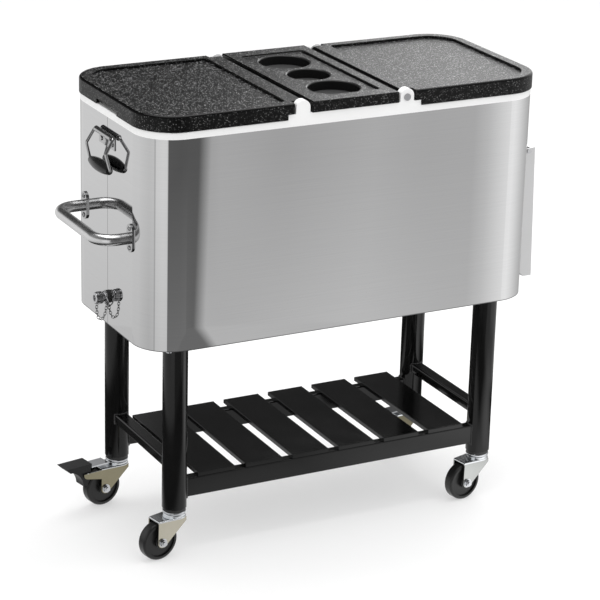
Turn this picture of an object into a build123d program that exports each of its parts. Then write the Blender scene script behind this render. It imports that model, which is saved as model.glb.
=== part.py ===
from build123d import *
import os

# A wheeled beverage cooler: a steel clad insulated tub with two lids, on a welded stand with casters.
# Millimetres. X runs along the tub with the push handle at -X, -Y is the front, Z is up from the floor.

# Clearances
seat_gap = 0.3
weld_gap = 0.2
running_fit = 0.08
hole_clearance = 0.1

# Casters
wheel_diameter = 74
wheel_width = 21
wheel_shoulder_radius = 4.5
wheel_rim_depth = 7
wheel_web_inset = 3.5
hub_diameter = 25
hub_width = 28.4
hub_side_gap = 0.3
axle_diameter = 8
axle_head_width = 12
axle_head_height = 4.5
axle_end_reach = 2
washer_diameter = 17
washer_thickness = 1.2
wheel_top_clearance = 3
crown_thickness = 3
crown_front_radius = 22
crown_edge_radius = 2
lower_race_diameter = 42
lower_race_height = 4.5
upper_race_diameter = 44
upper_race_height = 5.2
race_edge_radius = 2
king_pin_diameter = 12
king_pin_head_diameter = 18
king_pin_head_height = 2
stem_diameter = 11
stem_length = 35
caster_trail = 36
caster_heading = 10
arm_thickness = 2.5
arm_end_radius = 10
arm_front_reach = 16
arm_rear_reach = 45
arm_top_band = 7

# Foot brakes on the two back casters
brake_pivot_reach = 76
brake_pivot_height = 75
brake_pivot_diameter = 6
brake_ear_radius = 9
brake_ear_root = 20
brake_side_gap = 1
lever_front_reach = 28
lever_thickness = 2.5
lever_rise = 11
pedal_front_reach = 68
pedal_tip_reach = 125
pedal_width = 34
pedal_rise = 21.5
pedal_thickness = 9.5
shoe_drop = 23.5
shoe_back_reach = 8

# Stand
leg_diameter = 46
leg_wall = 2
leg_length = 319
leg_inset_x = 75
leg_inset_y = 50
leg_foot_radius = 1.2
collar_height = 5
collar_diameter = 43
insert_length = 40
leg_plate_size = 64
leg_plate_radius = 8
leg_plate_thickness = 4
bolt_pitch = 48
bolt_diameter = 6
bolt_head_diameter = 11
bolt_head_height = 4
rail_lift = 18
rail_depth = 20
rail_height = 38
rail_wall = 1.5
rail_edge_radius = 3
side_rail_width = 25
side_rail_height = 19
side_rail_gap = 8
slat_count = 6
slat_pitch = 97.6
slat_width = 75.6
slat_thickness = 8
slat_sheet = 1.5
slat_edge_radius = 1.2
slat_back_overhang = 14

# Tub
tub_length = 800
tub_width = 364
tub_corner_radius = 72
shell_height = 389
shell_thickness = 1.2
pan_thickness = 1.5
pan_lip_thickness = 1.2
pan_lip_height = 18
foam_floor_thickness = 36
wall_thickness = 27
liner_thickness = 3
liner_draft = 7
liner_foot_radius = 16
rim_height = 13.5
rim_edge_radius = 2
seal_lip_width = 5
seal_lip_height = 3
step_reach = 29
step_height = 9
lug_depth = 14
lug_width = 28
lug_crown_rise = 2
hinge_reach = 105
hinge_height = 8
hinge_pin_diameter = 8
hinge_pin_head_diameter = 13
hinge_pin_head_height = 2
blind_lug_face = 3

# Lids and centre panel
lid_overhang = 2.35
lid_height = 29
lid_wall = 3
lid_edge_radius = 5
lid_tail = 10
lid_tail_drop = 8
lug_relief = 17.5
ear_gap = 1
ear_thickness = 12
tray_depth = 5
tray_border = 21
tray_hinge_border = 26
tray_corner_radius = 8
tray_edge_radius = 1.2
step_relief = 1.2
lid_rib_thickness = 2.5
lid_rib_offset = 60
lid_rib_stations = (210, 310)
lid_liner_thickness = 2.5
lid_liner_lift = 4
notch_length = 90
notch_height = 10
notch_depth = 17
notch_corner_radius = 4
panel_gap = 8
panel_edge_radius = 2
panel_border = 21
panel_end_border = 32
panel_tray_depth = 4
cup_diameter = 95
small_cup_diameter = 79
cup_rim_radius = 3.5
cup_depth = 17
cup_draft = 2
cup_wall = 2.5
cup_pitch = 98

# Push handle
handle_drop = 193.5
handle_spread = 207
handle_reach = 70
handle_tube_diameter = 21
handle_tube_wall = 1.5
handle_bend_radius = 35
flange_width = 25
flange_height = 52
flange_thickness = 3
flange_screw_pitch = 36
screw_diameter = 4
screw_head_diameter = 9
screw_head_height = 3

# Bail handle
bail_drop = 29.5
bail_barrel_length = 70
bail_barrel_diameter = 11
bail_barrel_offset = 6.5
bail_plate_thickness = 1.5
bail_plate_height = 24
bail_rivet_spread = 48
bail_rivet_drop = 15
bail_rivet_diameter = 4
bail_rivet_head_diameter = 9
bail_rivet_head_height = 2
bail_wire_diameter = 5.5
bail_wire_spread = 82
bail_grip_spread = 92
bail_wire_bend_radius = 4.5
bail_knee_out = 15.5
bail_knee_drop = 26
bail_grip_out = 7.5
bail_grip_drop = 58
bail_grip_diameter = 23
bail_grip_end_diameter = 13
bail_grip_length = 82

# Drain
drain_lift = 13
spout_diameter = 17
spout_bore = 12
spout_flange_width = 21
spout_flange_thickness = 4
gasket_diameter = 24
gasket_thickness = 4
lock_nut_width = 24
lock_nut_thickness = 8
spout_inner_reach = 12
sump_diameter = 36
sump_length = 18
cap_diameter = 21.6
cap_length = 15
cap_start = 11
cap_wall = 3
cap_thread_gap = 0.4
cap_end_gap = 1
cap_edge_radius = 1.5
cap_recess_diameter = 12
cap_recess_depth = 2.5
cap_groove_depth = 1.2
cap_groove_inset = 3
chain_diameter = 2
chain_sag = 30
chain_bend_radius = 6
chain_ring_width = 2.4
chain_ring_thickness = 2.4

# Fold-down side shelf
shelf_drop = 119.5
shelf_half_width = 128
shelf_length = 257
shelf_sheet = 1.5
shelf_pivot_offset = 7
shelf_pivot_end = 6.6
shelf_root_depth = 20.5
shelf_free_depth = 28
shelf_corner_cut = 7
shelf_wall_gap = 2.6
shelf_eye_radius = 5
shelf_end_start = 4
bracket_thickness = 2.5
bracket_wall_thickness = 2
bracket_width = 28
bracket_drop = 24
bracket_neck = 5.5
shelf_pin_diameter = 6
shelf_pin_head_diameter = 9
shelf_pin_head_height = 2
bracket_screw_pitch = 12
bracket_screw_inset = 7

# Levels and places worked out from the sizes above
axle_z = wheel_diameter / 2
crown_bottom_z = wheel_diameter + wheel_top_clearance
crown_top_z = crown_bottom_z + crown_thickness
upper_race_z = crown_top_z + lower_race_height + seat_gap
collar_z = upper_race_z + upper_race_height
leg_bottom_z = collar_z + collar_height
leg_top_z = leg_bottom_z + leg_length
pan_z = leg_top_z + leg_plate_thickness
shell_z = pan_z + pan_thickness
rim_z = shell_z + shell_height
rim_top_z = rim_z + rim_height
step_top_z = rim_top_z + step_height
lid_top_z = rim_top_z + lid_height
hinge_z = step_top_z + hinge_height
liner_foot_z = shell_z + foam_floor_thickness
liner_floor_z = liner_foot_z + liner_thickness
rail_z = leg_bottom_z + rail_lift
slat_z = rail_z + rail_height
side_rail_z = slat_z + slat_thickness + side_rail_gap
left_wall_x = -tub_length / 2
right_wall_x = tub_length / 2
front_y = -tub_width / 2
leg_x = tub_length / 2 - leg_inset_x
leg_y = tub_width / 2 - leg_inset_y
lug_y = tub_width / 2 - lug_depth
step_half_length = hinge_reach + step_reach
panel_half_width = hinge_reach - lid_tail - panel_gap
ear_y = lug_y - ear_gap
handle_z = rim_z - handle_drop
bail_x = left_wall_x - bail_barrel_offset
bail_z = rim_z - bail_drop
drain_z = liner_floor_z + drain_lift
sump_x = left_wall_x + wall_thickness
cap_bore_end_x = left_wall_x - cap_start - cap_length + cap_wall + cap_groove_inset
cap_ring_x = left_wall_x - cap_start - cap_length + cap_groove_inset + chain_ring_thickness / 2
cap_groove_diameter = cap_diameter - 2 * cap_groove_depth
shelf_pivot_x = right_wall_x + shelf_pivot_offset
shelf_pivot_z = rim_z - shelf_drop
centre_shift = (handle_reach - shelf_free_depth) / 2


def block(x_min, x_max, y_min, y_max, z_min, z_max):
    centre = Pos((x_min + x_max) / 2, (y_min + y_max) / 2, (z_min + z_max) / 2)
    return centre * Box(x_max - x_min, y_max - y_min, z_max - z_min)


def prism(sketch, z_min, z_max):
    return extrude(Pos(0, 0, z_min) * sketch, z_max - z_min, dir=(0, 0, 1))


def rod(start, end, diameter):
    axis = Vector(*end) - Vector(*start)
    return extrude(Plane(origin=start, z_dir=axis) * Circle(diameter / 2), axis.length)


def side_profile(sketch, y_min, y_max):
    """Extrude a sketch drawn in X and Z between two Y places."""
    return extrude(Plane.XZ.offset(-y_min) * sketch, y_max - y_min, dir=(0, 1, 0))


def both_sides(part):
    return [part, mirror(part, about=Plane.XZ)]


def outline(inset):
    radius = tub_corner_radius - inset
    return RectangleRounded(tub_length - 2 * inset, tub_width - 2 * inset, radius)


def leg_places():
    return {
        "front_left": (-leg_x, -leg_y),
        "front_right": (leg_x, -leg_y),
        "back_left": (-leg_x, leg_y),
        "back_right": (leg_x, leg_y),
    }


def bolt_places():
    half = bolt_pitch / 2
    corners = [(-half, -half), (half, -half), (-half, half), (half, half)]
    return [(x + dx, y + dy) for x, y in leg_places().values() for dx, dy in corners]


# Places on the end walls where screws and rivets go in
def handle_screw_places():
    half_spread = handle_spread / 2
    half_pitch = flange_screw_pitch / 2
    return [(y, handle_z + dz) for y in (-half_spread, half_spread) for dz in (-half_pitch, half_pitch)]


def bail_rivet_places():
    half_spread = bail_rivet_spread / 2
    return [(y, bail_z - bail_rivet_drop) for y in (-half_spread, half_spread)]


def bracket_screw_places():
    inner_y = shelf_half_width - shelf_sheet - seat_gap - bracket_width + bracket_screw_inset
    z = shelf_pivot_z - (bracket_neck + bracket_drop) / 2
    stations = (inner_y, inner_y + bracket_screw_pitch)
    return [(side * y, z) for side in (-1, 1) for y in stations]


def wall_fastener(wall_x, outward, y, z, seat, head_diameter, head_height, shaft_diameter):
    """A round headed screw or rivet through an end wall, its head seated a little way off the wall."""
    seat_x = wall_x + outward * seat
    head = rod((seat_x, y, z), (seat_x + outward * head_height, y, z), head_diameter)
    head = fillet(head.faces().sort_by(Axis.X)[0 if outward < 0 else -1].edges(), head_height / 3)
    shaft_end = wall_x - outward * (shell_thickness + seat_gap)
    return head + rod((shaft_end, y, z), (seat_x, y, z), shaft_diameter)


def make_wall_screws():
    """The like screws of the push handle flanges and the shelf brackets."""
    size = (screw_head_diameter, screw_head_height, screw_diameter)
    screws = []
    for y, z in handle_screw_places():
        screws.append(wall_fastener(left_wall_x, -1, y, z, flange_thickness, *size))
    for y, z in bracket_screw_places():
        screws.append(wall_fastener(right_wall_x, 1, y, z, bracket_wall_thickness, *size))
    return Compound(screws)


# Tub
def make_steel_shell():
    shell = prism(outline(0) - outline(shell_thickness), shell_z, rim_z)
    depth = 2 * shell_thickness
    screw_hole = screw_diameter + 2 * hole_clearance
    rivet_hole = bail_rivet_diameter + 2 * hole_clearance
    holes = [(left_wall_x, y, z, screw_hole) for y, z in handle_screw_places()]
    holes += [(left_wall_x, y, z, rivet_hole) for y, z in bail_rivet_places()]
    holes += [(right_wall_x, y, z, screw_hole) for y, z in bracket_screw_places()]
    holes += [(left_wall_x, 0, drain_z, spout_diameter + 2 * seat_gap)]
    for x, y, z, diameter in holes:
        shell -= rod((x - depth, y, z), (x + depth, y, z), diameter)
    return shell


def make_base_pan():
    lip_inset = shell_thickness + seat_gap
    pan = prism(outline(0), pan_z, shell_z)
    lip = outline(lip_inset) - outline(lip_inset + pan_lip_thickness)
    pan += prism(lip, shell_z, shell_z + pan_lip_height)
    for x, y in bolt_places():
        pan -= rod((x, y, pan_z), (x, y, shell_z), bolt_diameter + 2 * hole_clearance)
    return pan


def liner_form(inset, foot_z, foot_radius):
    """The drafted tub form of the liner, with a rounded foot."""
    foot = Pos(0, 0, foot_z) * outline(inset + liner_draft)
    mouth = Pos(0, 0, rim_top_z) * outline(inset)
    form = loft([foot, mouth], ruled=True)
    return fillet(form.faces().sort_by(Axis.Z)[0].edges(), foot_radius)


def drain_sump(grow):
    """The pocket for the drain's lock nut, sunk into the end wall and the floor of the liner."""
    end_x = sump_x + sump_length + grow
    return rod((sump_x - grow, 0, drain_z), (end_x, 0, drain_z), sump_diameter + 2 * grow)


def make_insulation_foam():
    foam_inset = shell_thickness + pan_lip_thickness + 2 * seat_gap
    foam = prism(outline(foam_inset), shell_z, rim_z - seat_gap)
    foam -= liner_form(wall_thickness - liner_thickness - seat_gap, liner_foot_z, liner_foot_radius)
    foam -= drain_sump(liner_thickness + seat_gap)
    reach = wall_thickness + liner_draft
    bore = spout_diameter + 2 * seat_gap
    return foam - rod((left_wall_x, 0, drain_z), (left_wall_x + reach, 0, drain_z), bore)


def hinge_lug(x):
    crown_z = hinge_z + lug_crown_rise
    half = lug_width / 2
    lug = block(x - half, x + half, lug_y, -front_y, step_top_z, crown_z)
    return lug + rod((x, lug_y, crown_z), (x, -front_y, crown_z), lug_width)


def make_inner_liner():
    liner = liner_form(wall_thickness - liner_thickness, liner_foot_z, liner_foot_radius)
    rim = prism(outline(0), rim_z, rim_top_z)
    liner += fillet(rim.faces().sort_by(Axis.Z)[-1].edges(), rim_edge_radius)
    lip = outline(wall_thickness - seal_lip_width)
    liner += prism(lip, rim_top_z, rim_top_z + seal_lip_height)
    liner += drain_sump(liner_thickness)
    liner -= liner_form(wall_thickness, liner_floor_z, liner_foot_radius - liner_thickness)
    liner -= prism(outline(wall_thickness), rim_top_z, rim_top_z + seal_lip_height)
    liner -= drain_sump(0)
    step = block(-step_half_length, step_half_length, lug_y, -front_y, rim_z, step_top_z)
    bore = hinge_pin_diameter + 2 * running_fit
    right_hole = rod((hinge_reach, lug_y, hinge_z), (hinge_reach, -front_y, hinge_z), bore)
    blind_end = -front_y - blind_lug_face
    left_hole = rod((-hinge_reach, lug_y, hinge_z), (-hinge_reach, blind_end, hinge_z), bore)
    hinge_row = step + hinge_lug(-hinge_reach) + hinge_lug(hinge_reach) - left_hole - right_hole
    for row in both_sides(hinge_row):
        liner += row
    bore = spout_diameter + 2 * seat_gap
    reach = 2 * (wall_thickness + liner_draft)
    return liner - rod((left_wall_x, 0, drain_z), (left_wall_x + reach, 0, drain_z), bore)


def make_hinge_pins():
    """Plain pins in the blind left lugs, and headed ones through the right lugs."""
    inner_y = ear_y - ear_thickness
    outer_y = -front_y
    blind_y = outer_y - blind_lug_face
    head_y = outer_y + hinge_pin_head_height
    x, z = hinge_reach, hinge_z
    left_pin = rod((-x, inner_y, z), (-x, blind_y, z), hinge_pin_diameter)
    right_pin = rod((x, inner_y, z), (x, outer_y, z), hinge_pin_diameter)
    right_pin += rod((x, outer_y, z), (x, head_y, z), hinge_pin_head_diameter)
    return Compound(both_sides(left_pin) + both_sides(right_pin))


# Lids and centre panel
def lid_plan(inset):
    return outline(inset - lid_overhang)


def make_left_lid():
    tail_x = lid_tail - hinge_reach
    relief_x = -hinge_reach - lug_relief
    far_x = left_wall_x - 2 * lid_overhang
    far_y = -front_y + 2 * lid_overhang
    ceiling_z = lid_top_z - tray_depth - lid_wall

    def left_of(x, part):
        return part & block(far_x, x, -far_y, far_y, rim_top_z, lid_top_z)

    lid = left_of(tail_x, prism(lid_plan(0), rim_top_z, lid_top_z))
    lid = fillet(lid.faces().sort_by(Axis.Z)[-1].edges(), lid_edge_radius)
    tray = prism(lid_plan(tray_border), lid_top_z - tray_depth, lid_top_z)
    tray = left_of(-hinge_reach - tray_hinge_border, tray)
    hinge_corners = tray.edges().filter_by(Axis.Z).group_by(Axis.X)[-1]
    lid -= fillet(hinge_corners, tray_corner_radius)
    lid = fillet(lid.faces().sort_by(Axis.Z)[-1].inner_wires()[0].edges(), tray_edge_radius)

    hollow = left_of(tail_x - lid_wall, prism(lid_plan(lid_wall), rim_top_z, ceiling_z))
    ear = block(relief_x - lid_wall, 0, ear_y - ear_thickness, far_y, rim_top_z, lid_top_z)
    for side in both_sides(ear):
        hollow -= side
    rib_z = rim_top_z + lid_liner_lift + lid_liner_thickness
    half_rib = lid_rib_thickness / 2
    for rib_y in (-lid_rib_offset, lid_rib_offset):
        hollow -= block(far_x, relief_x, rib_y - half_rib, rib_y + half_rib, rib_z, ceiling_z)
    for rib_x in lid_rib_stations:
        hollow -= block(-rib_x - half_rib, half_rib - rib_x, -far_y, far_y, rib_z, ceiling_z)
    lid -= hollow

    lid -= block(relief_x - lid_wall, 0, -far_y, far_y, rim_top_z, hinge_z - lid_tail_drop)
    pin_bore = hinge_pin_diameter + 2 * running_fit
    pocket = block(relief_x, 0, ear_y, far_y, rim_top_z, lid_top_z)
    step_end_x = -step_half_length - step_relief
    pocket += block(step_end_x, relief_x, lug_y - step_relief, far_y, rim_top_z, step_top_z + step_relief)
    pocket += rod((-hinge_reach, 0, hinge_z), (-hinge_reach, far_y, hinge_z), pin_bore)
    for side in both_sides(pocket):
        lid -= side
    return lid - finger_notch(far_x)


def finger_notch(far_x):
    """The cut-out under the outer edge of a lid, for the fingers that lift it."""
    half = notch_length / 2
    notch_top_z = rim_top_z + notch_height
    notch = block(far_x, left_wall_x + notch_depth, -half, half, rim_top_z, notch_top_z)
    top_edges = notch.edges().filter_by(Axis.X).group_by(Axis.Z)[-1]
    return fillet(top_edges, notch_corner_radius)


def make_left_lid_liner():
    plate_z = rim_top_z + lid_liner_lift
    plate = prism(lid_plan(lid_wall + seat_gap), plate_z, plate_z + lid_liner_thickness)
    end_x = -step_half_length - 2 * step_relief
    far_x = left_wall_x - lid_overhang
    plate &= block(far_x, end_x, front_y, -front_y, plate_z, plate_z + lid_liner_thickness)
    return plate - finger_notch(far_x)


def make_cup_panel():
    end_y = -front_y + lid_overhang
    half = panel_half_width
    panel = block(-half, half, -end_y, end_y, step_top_z, lid_top_z)
    panel = fillet(panel.faces().sort_by(Axis.Z)[-1].edges(), panel_edge_radius)
    floor_z = lid_top_z - panel_tray_depth
    ceiling_z = floor_z - lid_wall
    inner = half - lid_wall
    panel -= block(-inner, inner, lid_wall - end_y, end_y - lid_wall, step_top_z, ceiling_z)
    tray = RectangleRounded(2 * (half - panel_border), 2 * (end_y - panel_end_border), tray_corner_radius)
    panel -= prism(tray, floor_z, lid_top_z)
    panel = fillet(panel.faces().sort_by(Axis.Z)[-1].inner_wires()[0].edges(), tray_edge_radius)
    for y, diameter in ((-cup_pitch, cup_diameter), (0, small_cup_diameter), (cup_pitch, cup_diameter)):
        panel += cup_form(y, diameter / 2 + cup_wall, floor_z - cup_depth - cup_wall, floor_z)
    for y, diameter in ((-cup_pitch, cup_diameter), (0, small_cup_diameter), (cup_pitch, cup_diameter)):
        panel -= cup_form(y, diameter / 2, floor_z - cup_depth, floor_z)
    cup_rims = panel.edges().filter_by(GeomType.CIRCLE).filter_by_position(Axis.Z, floor_z, floor_z)
    return fillet(cup_rims, cup_rim_radius)


def cup_form(y, mouth_radius, bottom_z, mouth_z):
    height = mouth_z - bottom_z
    return Pos(0, y, (bottom_z + mouth_z) / 2) * Cone(mouth_radius - cup_draft, mouth_radius, height)


# Push handle
def make_push_handle():
    half = handle_spread / 2
    foot_x = left_wall_x - flange_thickness
    bar_x = left_wall_x - handle_reach + handle_tube_diameter / 2
    corners = [(foot_x, half), (bar_x, half), (bar_x, -half), (foot_x, -half)]
    path = Pos(0, 0, handle_z) * FilletPolyline(*corners, radius=handle_bend_radius)
    ring = Circle(handle_tube_diameter / 2) - Circle(handle_tube_diameter / 2 - handle_tube_wall)
    start = Plane(origin=(foot_x, half, handle_z), z_dir=(-1, 0, 0))
    return sweep(start * ring, path=path)


def make_handle_flanges():
    wall = Plane(origin=(left_wall_x, 0, 0), z_dir=(-1, 0, 0), x_dir=(0, 0, 1))
    flanges = []
    for side in (-1, 1):
        y = side * handle_spread / 2
        slot = SlotOverall(flange_height, flange_width)
        plate = extrude(wall * Pos(handle_z, y) * slot, flange_thickness)
        for hole_y, hole_z in handle_screw_places():
            if hole_y == y:
                hole = screw_diameter + 2 * hole_clearance
                plate -= rod((left_wall_x, y, hole_z), (left_wall_x - flange_thickness, y, hole_z), hole)
        flanges.append(plate)
    return Compound(flanges)


# Bail handle
def make_bail_bracket():
    half = bail_barrel_length / 2
    plate_x = left_wall_x - bail_plate_thickness
    bracket = block(plate_x, left_wall_x, -half, half, bail_z - bail_plate_height, bail_z)
    bracket += rod((bail_x, -half, bail_z), (bail_x, half, bail_z), bail_barrel_diameter)
    bracket &= block(bail_x - bail_barrel_diameter, left_wall_x, -half, half, 0, lid_top_z)
    bore = bail_wire_diameter + 2 * running_fit
    bracket -= rod((bail_x, -half, bail_z), (bail_x, half, bail_z), bore)
    for y, z in bail_rivet_places():
        bracket -= rod((plate_x, y, z), (left_wall_x, y, z), bail_rivet_diameter + 2 * hole_clearance)
    return bracket


def make_bail_rivets():
    rivets = []
    for y, z in bail_rivet_places():
        size = (bail_rivet_head_diameter, bail_rivet_head_height, bail_rivet_diameter)
        rivets.append(wall_fastener(left_wall_x, -1, y, z, bail_plate_thickness, *size))
    return Compound(rivets)


def make_bail_wire():
    knee_y = -(bail_wire_spread + bail_grip_spread) / 4
    knee_z = bail_z - bail_knee_drop
    grip_x = bail_x - bail_grip_out
    grip_z = bail_z - bail_grip_drop
    start = (bail_x, 0, bail_z)
    path = FilletPolyline(
        start,
        (bail_x, -bail_wire_spread / 2, bail_z),
        (bail_x - bail_knee_out, knee_y, knee_z),
        (grip_x, -bail_grip_spread / 2, grip_z),
        (grip_x, 0, grip_z),
        radius=bail_wire_bend_radius,
    )
    section = Plane(origin=start, z_dir=(0, -1, 0)) * Circle(bail_wire_diameter / 2)
    front_half = sweep(section, path=path)
    return front_half + mirror(front_half, about=Plane.XZ)


def make_bail_grip():
    half = bail_grip_length / 2
    bore = bail_wire_diameter / 2 + hole_clearance
    end = bail_grip_end_diameter / 2
    belly = ThreePointArc((end, -half), (bail_grip_diameter / 2, 0), (end, half))
    sides = Polyline((end, half), (bore, half), (bore, -half), (end, -half))
    grip = revolve(make_face([belly, *sides.edges()]), Axis.Y)
    return Pos(bail_x - bail_grip_out, 0, bail_z - bail_grip_drop) * grip


# Drain
def hexagon_along_x(x_min, x_max, width):
    plane = Plane(origin=(x_min, 0, drain_z), z_dir=(1, 0, 0))
    return extrude(plane * RegularPolygon(width / 2, 6, major_radius=False), x_max - x_min)


def make_drain_spout():
    flange_x = left_wall_x - gasket_thickness
    inner_x = sump_x + spout_inner_reach
    outer_x = cap_bore_end_x + cap_end_gap
    spout = rod((outer_x, 0, drain_z), (inner_x, 0, drain_z), spout_diameter)
    spout += hexagon_along_x(flange_x - spout_flange_thickness, flange_x, spout_flange_width)
    return spout - rod((outer_x, 0, drain_z), (inner_x, 0, drain_z), spout_bore)


def make_drain_gasket():
    start = (left_wall_x - gasket_thickness, 0, drain_z)
    end = (left_wall_x, 0, drain_z)
    return rod(start, end, gasket_diameter) - rod(start, end, spout_diameter)


def make_drain_lock_nut():
    nut = hexagon_along_x(sump_x, sump_x + lock_nut_thickness, lock_nut_width)
    end = (sump_x + lock_nut_thickness, 0, drain_z)
    return nut - rod((sump_x, 0, drain_z), end, spout_diameter)


def make_drain_cap():
    open_x = left_wall_x - cap_start
    end_x = open_x - cap_length
    cap = rod((open_x, 0, drain_z), (end_x, 0, drain_z), cap_diameter)
    cap = fillet(cap.edges(), cap_edge_radius)
    bore = spout_diameter + 2 * cap_thread_gap
    cap -= rod((open_x, 0, drain_z), (cap_bore_end_x, 0, drain_z), bore)
    cap -= rod((end_x, 0, drain_z), (end_x + cap_recess_depth, 0, drain_z), cap_recess_diameter)
    half_groove = chain_ring_thickness / 2 + seat_gap
    groove_line = [(cap_ring_x + side * half_groove, 0, drain_z) for side in (-1, 1)]
    return cap - (rod(*groove_line, cap_diameter) - rod(*groove_line, cap_groove_diameter))


def chain_ring(middle_x, bore):
    ring_line = [(middle_x + side * chain_ring_thickness / 2, 0, drain_z) for side in (-1, 1)]
    return rod(*ring_line, bore + 2 * chain_ring_width) - rod(*ring_line, bore)


def make_drain_cap_ring():
    """A loose ring in the groove of the cap: it moves out with the cap and doesn't turn with it."""
    return chain_ring(cap_ring_x, cap_groove_diameter + 2 * seat_gap)


def make_drain_chain():
    """A ring on the spout, and the chain that hangs from it to the ring of the cap."""
    spout_bore_in_ring = spout_diameter + 2 * seat_gap
    spout_ring_x = left_wall_x - gasket_thickness - spout_flange_thickness - chain_ring_thickness / 2
    ring_bottom_z = drain_z - cap_groove_diameter / 2 - seat_gap - chain_ring_width
    cap_end = (cap_ring_x, 0, ring_bottom_z - seat_gap)
    spout_end = (spout_ring_x, 0, drain_z - spout_bore_in_ring / 2 - chain_ring_width / 2)
    low_z = cap_end[2] - chain_sag
    low_points = [(cap_ring_x, 0, low_z), (spout_ring_x, 0, low_z)]
    path = FilletPolyline(cap_end, *low_points, spout_end, radius=chain_bend_radius)
    chain = sweep(Plane(origin=cap_end, z_dir=(0, 0, -1)) * Circle(chain_diameter / 2), path=path)
    return chain + chain_ring(spout_ring_x, spout_bore_in_ring)


# Fold-down side shelf
def shelf_corners(sheet):
    """Outer top, outer bottom and the two cut corners at the wall of the stowed shelf, moved in by a sheet."""
    top_z = shelf_pivot_z + shelf_pivot_end - sheet
    bottom_z = shelf_pivot_z + shelf_pivot_end - shelf_length + sheet
    outer_top = (right_wall_x + shelf_root_depth - sheet, top_z)
    outer_bottom = (right_wall_x + shelf_free_depth - sheet, bottom_z)
    inner_x = right_wall_x + shelf_wall_gap
    return outer_top, outer_bottom, (inner_x + shelf_corner_cut, bottom_z), (inner_x, bottom_z + shelf_corner_cut)


def make_side_shelf():
    eye = Pos(shelf_pivot_x, shelf_pivot_z) * Circle(shelf_eye_radius)
    shape = make_hull([*eye.edges(), *Polyline(*shelf_corners(0)).edges()])
    shelf = side_profile(shape, -shelf_half_width, shelf_half_width)
    inner_y = shelf_half_width - shelf_sheet
    outer_top, outer_bottom = shelf_corners(shelf_sheet)[:2]
    open_x = right_wall_x - shelf_free_depth
    room = Polygon(outer_top, outer_bottom, (open_x, outer_bottom[1]), (open_x, outer_top[1]), align=None)
    shelf -= side_profile(room, -inner_y, inner_y)
    end_x = shelf_pivot_x + shelf_end_start
    shelf -= block(open_x, end_x, -inner_y, inner_y, outer_bottom[1], rim_z)
    bore = shelf_pin_diameter + 2 * running_fit
    pin_line = [(shelf_pivot_x, y, shelf_pivot_z) for y in (-shelf_half_width, shelf_half_width)]
    return shelf - rod(*pin_line, bore)


def make_shelf_brackets():
    outer_y = shelf_half_width - shelf_sheet - seat_gap
    cheek_top_z = shelf_pivot_z - bracket_neck
    cheek_bottom_z = shelf_pivot_z - bracket_drop
    eye = Pos(shelf_pivot_x, shelf_pivot_z) * Circle(shelf_eye_radius)
    root_x = right_wall_x + bracket_wall_thickness
    root = Polyline((right_wall_x, cheek_top_z), (right_wall_x, cheek_bottom_z), (root_x, cheek_bottom_z))
    cheek = make_hull([*eye.edges(), *root.edges()])
    bracket = side_profile(cheek, outer_y - bracket_thickness, outer_y)
    bracket += block(right_wall_x, root_x, outer_y - bracket_width, outer_y, cheek_bottom_z, cheek_top_z)
    pin_line = [(shelf_pivot_x, y, shelf_pivot_z) for y in (0, outer_y)]
    bracket -= rod(*pin_line, shelf_pin_diameter + 2 * hole_clearance)
    for y, z in bracket_screw_places():
        hole = screw_diameter + 2 * hole_clearance
        bracket -= rod((right_wall_x, abs(y), z), (root_x, abs(y), z), hole)
    return Compound(both_sides(bracket))


def make_shelf_pins():
    inner_y = shelf_half_width - shelf_sheet - 2 * bracket_thickness
    head_y = shelf_half_width + seat_gap
    x, z = shelf_pivot_x, shelf_pivot_z
    pin = rod((x, inner_y, z), (x, head_y, z), shelf_pin_diameter)
    pin += rod((x, head_y, z), (x, head_y + shelf_pin_head_height, z), shelf_pin_head_diameter)
    return Compound(both_sides(pin))


# Stand
def make_leg(x, y):
    leg = rod((x, y, leg_bottom_z), (x, y, leg_top_z), leg_diameter)
    leg = fillet(leg.edges().sort_by(Axis.Z)[0], leg_foot_radius)
    return leg - rod((x, y, leg_bottom_z), (x, y, leg_top_z), leg_diameter - 2 * leg_wall)


def make_leg_plates():
    plates = []
    for x, y in leg_places().values():
        sketch = Pos(x, y) * RectangleRounded(leg_plate_size, leg_plate_size, leg_plate_radius)
        plates.append(prism(sketch, leg_top_z, pan_z))
    bore = bolt_diameter + 2 * hole_clearance
    holes = [rod((x, y, leg_top_z), (x, y, pan_z), bore) for x, y in bolt_places()]
    return Compound([plate - holes for plate in plates])


def make_leg_bolts():
    bolts = []
    for x, y in bolt_places():
        bolt = rod((x, y, leg_top_z - bolt_head_height), (x, y, leg_top_z), bolt_head_diameter)
        bolts.append(bolt + rod((x, y, leg_top_z), (x, y, shell_z), bolt_diameter))
    return Compound(bolts)


def make_leg_inserts():
    inserts = []
    plug_diameter = leg_diameter - 2 * leg_wall - 2 * weld_gap
    for x, y in leg_places().values():
        top_z = leg_bottom_z + insert_length
        insert = rod((x, y, leg_bottom_z), (x, y, top_z), plug_diameter)
        insert += rod((x, y, collar_z), (x, y, leg_bottom_z), collar_diameter)
        bore = stem_diameter + 2 * hole_clearance
        inserts.append(insert - rod((x, y, collar_z), (x, y, top_z), bore))
    return Compound(inserts)


def tube_section(width, height):
    inner = Rectangle(width - 2 * rail_wall, height - 2 * rail_wall)
    return RectangleRounded(width, height, rail_edge_radius) - inner


def coped(tube):
    """Cut the ends of a rail to the round legs that it is welded to."""
    for x, y in leg_places().values():
        tube -= rod((x, y, leg_bottom_z), (x, y, leg_top_z), leg_diameter + 2 * weld_gap)
    return tube.solids().sort_by(SortBy.VOLUME)[-1]


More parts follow.
